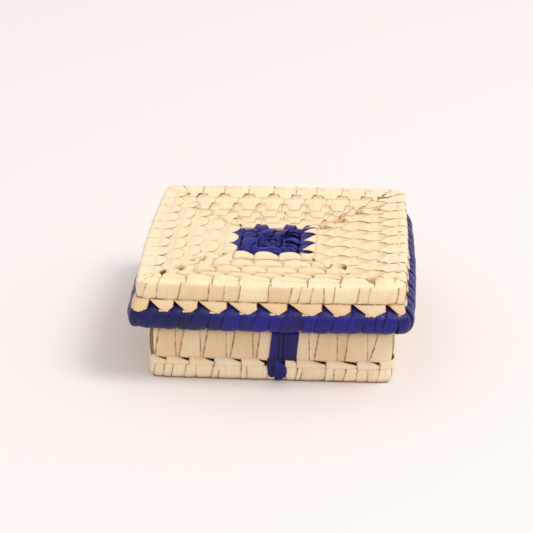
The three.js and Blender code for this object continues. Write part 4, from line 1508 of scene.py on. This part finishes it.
@dataclass
class BoxWall:
    """The two tall rounds of the wall with the blue stripe on their front.

    Each of `front_units` is where a narrow wrap starts, and where the slanting seam between it and the
    broad wrap after it is at the top and at the foot. Each of `stripe_wraps` is where the left edge of a
    blue wrap is at the top and at the foot, and then its right edge.
    """

    palette: Palette
    half: float = WALL_LAY.half
    face: float = 2.5
    pitch: float = 10.4
    narrow_width: float = 4.2
    narrow_least: float = 0.05
    narrow_tones: Span = (0.3, 0.9)
    broad_tones: Span = (0.4, 0.8)
    sliver_width: float = 0.4
    front_units: tuple[tuple[float, float, float], ...] = (
        (-44.6, -42.0, -44.2), (-35.9, -32.4, -35.1), (-26.5, -23.5, -26.0), (-16.6, -13.2, -15.5),
        (-6.6, -3.8, -5.5), (14.6, 18.2, 16.2), (25.1, 29.5, 27.7), (36.5, 40.5, 36.9))
    corner_slivers: tuple[float, ...] = (-45.9, -45.3, -44.7)
    stripe: Span = (-0.2, 10.4)
    stripe_lap: float = 1.2
    stripe_proud: float = 0.3
    stripe_wraps: tuple[tuple[float, float, float, float], ...] = (
        (5.2, 5.0, 7.6, 6.4), (7.0, 5.9, 11.0, 9.9), (0.8, -0.8, 3.4, 3.9), (3.2, 3.4, 5.4, 5.0))

    def build(self) -> None:
        """Builds both rounds, their stripes and their bundles."""
        for seed, tall in enumerate(WALL_ROUNDS, 51):
            ring = Round(WALL_LAY, self.half, StripMesh(f"{tall.name}_wraps", seed))
            self._natural(ring, tall)
            self.palette.dress(ring.mesh, Leaf.SIDE, "box", f"{tall.name}_coil")
        for seed, tall in enumerate(WALL_ROUNDS, 53):
            ring = Round(WALL_LAY, self.half, StripMesh(f"stripe_{tall.name}_bands", seed))
            self._stripe(ring, tall)
            self.palette.dress(ring.mesh, Leaf.BLUE, "box", f"stripe_{tall.name}_wraps")
        for seed, tall in enumerate(WALL_ROUNDS, 55):
            ribs = RibBundle(WALL_LAY, (self.half,), 2.0, tall.rib_foot, tall.rib_top, tall.rods)
            mesh = ribs.fill(StripMesh(f"{tall.name}_ribs", seed))
            self.palette.dress(mesh, Leaf.RIB, "box", f"{tall.name}_bundle")

    def _units(self, ring: Round) -> list[tuple[float, float, float]]:
        """Places the pairs of a narrow and a broad wrap all round the box.

        Args:
            ring: The round.

        Returns:
            For each pair where it starts, and where its slanting seam is at the top and at the foot.
        """
        rng = ring.mesh.rng
        units = [tuple(ring.front(unit, self.face)) for unit in self.front_units]
        count = round(2 * self.half / self.pitch)
        pitch = 2 * self.half / count
        for side in UNSEEN_SIDES:
            for index in range(count):
                start = side.value * 2 * self.half + (index + 0.2) * pitch + rng.uniform(-0.5, 0.5)
                units.append((start, start + rng.uniform(2.6, 4.2), start + rng.uniform(0.6, 1.6)))
        return units

    def _natural(self, ring: Round, tall: WallRound) -> None:
        """Lays the natural wraps of one round.

        Args:
            ring: The round, with the mesh to add to.
            tall: Its heights.
        """
        rng, narrow = ring.mesh.rng, self.narrow_width
        left, right = (self.half + run for run in self.stripe)
        units = self._units(ring)
        ends = [unit[0] for unit in units[1:]] + [units[0][0] + 8 * self.half]
        for (start, seam_top, seam_foot), end in zip(units, ends):
            seam = (seam_top - start, seam_foot - start)
            rows = [row._replace(far=max(row.far, self.narrow_least))
                    for row in tall.rows((0.0, 0.0), seam, narrow)]
            ring.wrap(start, start + narrow, self._slim(rows), rng.uniform(*self.narrow_tones))
            if start < left < end:
                self._broad(ring, tall, start, left + self.stripe_lap, seam)
                self._broad(ring, tall, right - self.stripe_lap, end, (0.0, 0.0))
            else:
                self._broad(ring, tall, start, end, seam)
        # The slivers at the front left corner lie fully in painted hollow shade, which paints them dark
        # brown.
        brown = [row._replace(hollow=1.0) for row in tall.rows((0.0, 0.0), (1.0, 1.0), 1.0)]
        for start in ring.front(self.corner_slivers, self.face):
            ring.wrap(start, start + self.sliver_width, self._slim(brown), tone=1.0)

    @staticmethod
    def _slim(rows: list[Row]) -> Pass:
        """Returns the path of a narrow wrap, which lies flat."""
        return Pass(tuple(rows), lap=0.08, crown=0.08, thickness=0.24, overlap=0.3)

    def _broad(self, ring: Round, tall: WallRound, start: float, end: float, seam: Span) -> None:
        """Lays a broad wrap whose near edge leans along the slanting seam.

        Args:
            ring: The round, with the mesh to add to.
            tall: Its heights.
            start: Where along the round the wrap starts.
            end: Where it ends.
            seam: How far past its start the seam is at the top and at the foot.
        """
        rows = tall.rows(seam, (end - start, end - start), end - start)
        rows[-2:] = [row._replace(tilt=tall.tilt) for row in rows[-2:]]
        passed = Pass(tuple(rows), crown=0.12, overlap=0.25)
        ring.wrap(start, end, passed, ring.mesh.rng.uniform(*self.broad_tones))

    def _stripe(self, ring: Round, tall: WallRound) -> None:
        """Lays the blue wraps of the stripe on one round.

        Args:
            ring: The round, with the mesh to add to.
            tall: Its heights.
        """
        for wrap, green in zip(self.stripe_wraps, tall.green):
            first, last = min(wrap[:2]), max(wrap[2:])
            places = [place - first for place in wrap]
            # Near the foot of its face the stripe is painted darker as shade, where it meets the stitch
            # below.
            rows = [
                row._replace(out=row.out + self.stripe_proud, hollow=0.7 * (tall.height(row.up) < 0.2))
                if row.out > 0 else row for row in tall.rows(places[:2], places[2:], last - first)]
            passed = Pass(tuple(rows), lap=0.5, crown=0.3, overlap=0.0)
            ring.wrap(self.half + first, self.half + last, passed, 0.5, green)


@dataclass(frozen=True)
class Studio:
    """The plain pale floor, the soft light and the camera at the photograph's angle, in metres."""

    azimuth: float = 3.96
    elevation: float = 23.95
    roll: float = -0.21
    distance: float = 0.6724
    target: tuple[float, float, float] = (-0.00447, 0.0, 0.02685)
    focal_pixels: float = 1688.0
    frame_pixels: float = 533.0
    sensor: float = 36.0
    floor_reach: float = 3.0
    floor_colour: Colour = (0.9, 0.85, 0.838, 1.0)
    floor_roughness: float = 0.9
    floor_specular: float = 0.1
    sky_colour: Colour = (1.0, 0.965, 0.955, 1.0)
    sky_strength: float = 0.79
    key_colour: tuple[float, float, float] = (1.0, 0.97, 0.94)
    key_power: float = 20.5
    key_size: float = 0.8
    key_place: tuple[float, float, float] = (1.1, -0.45, 1.8)

    def build(self) -> None:
        """Builds the floor, the lights and the camera."""
        self._floor()
        self._sky()
        self._key()
        self._camera()
        bpy.context.scene.view_settings.view_transform = "Standard"
        LOG.info("studio: floor, sky, key light and camera")

    def _floor(self) -> None:
        """Lays a wide plain floor, which isn't part of the object."""
        mesh = bpy.data.meshes.new("studio_floor")
        reach = self.floor_reach
        corners = [(-reach, -reach, 0), (reach, -reach, 0), (reach, reach, 0), (-reach, reach, 0)]
        mesh.from_pydata(corners, [], [(0, 1, 2, 3)])
        floor = shown("studio_floor", mesh)
        material = bpy.data.materials.new("studio_paper")
        material.use_nodes = True
        inputs = material.node_tree.nodes["Principled BSDF"].inputs
        inputs["Base Color"].default_value = self.floor_colour
        inputs["Roughness"].default_value = self.floor_roughness
        inputs["Specular IOR Level"].default_value = self.floor_specular
        mesh.materials.append(material)

    def _sky(self) -> None:
        """Fills the room with even pale light."""
        world = bpy.data.worlds.new("studio_sky")
        world.use_nodes = True
        inputs = world.node_tree.nodes["Background"].inputs
        inputs["Color"].default_value = self.sky_colour
        inputs["Strength"].default_value = self.sky_strength
        bpy.context.scene.world = world

    def _key(self) -> None:
        """Hangs one broad light high up to the right of the box."""
        data = bpy.data.lights.new("studio_key", "AREA")
        data.energy = self.key_power
        data.size = self.key_size
        data.color = self.key_colour
        light = shown("studio_key", data)
        light.location = self.key_place
        light.rotation_mode = "QUATERNION"
        light.rotation_quaternion = (Vector(self.target) - Vector(self.key_place)).to_track_quat("-Z", "Y")

    def _camera(self) -> None:
        """Sets the camera at the photograph's angle, distance and framing."""
        azimuth, elevation = math.radians(self.azimuth), math.radians(self.elevation)
        back = Vector((math.sin(azimuth) * math.cos(elevation), -math.cos(azimuth) * math.cos(elevation),
                       math.sin(elevation)))
        data = bpy.data.cameras.new("camera")
        data.lens = self.focal_pixels / self.frame_pixels * self.sensor
        data.sensor_width = self.sensor
        camera = shown("camera", data)
        rolled = Matrix.Rotation(math.radians(self.roll), 3, "Z")
        turned = (-back).to_track_quat("-Z", "Y").to_matrix() @ rolled
        camera.matrix_world = Matrix.Translation(Vector(self.target) + back * self.distance) @ turned.to_4x4()
        bpy.context.scene.camera = camera


def main() -> None:
    """Builds the box from its floor to its lid, and then the studio."""
    logging.basicConfig(level=logging.INFO, format="%(message)s")
    palette = Palette()
    for part in (BoxFloor, BoxEdge, BoxWall, LidTop, LidEdge, LidRim):
        part(palette).build()
    Studio().build()


if __name__ == "__main__":
    main()
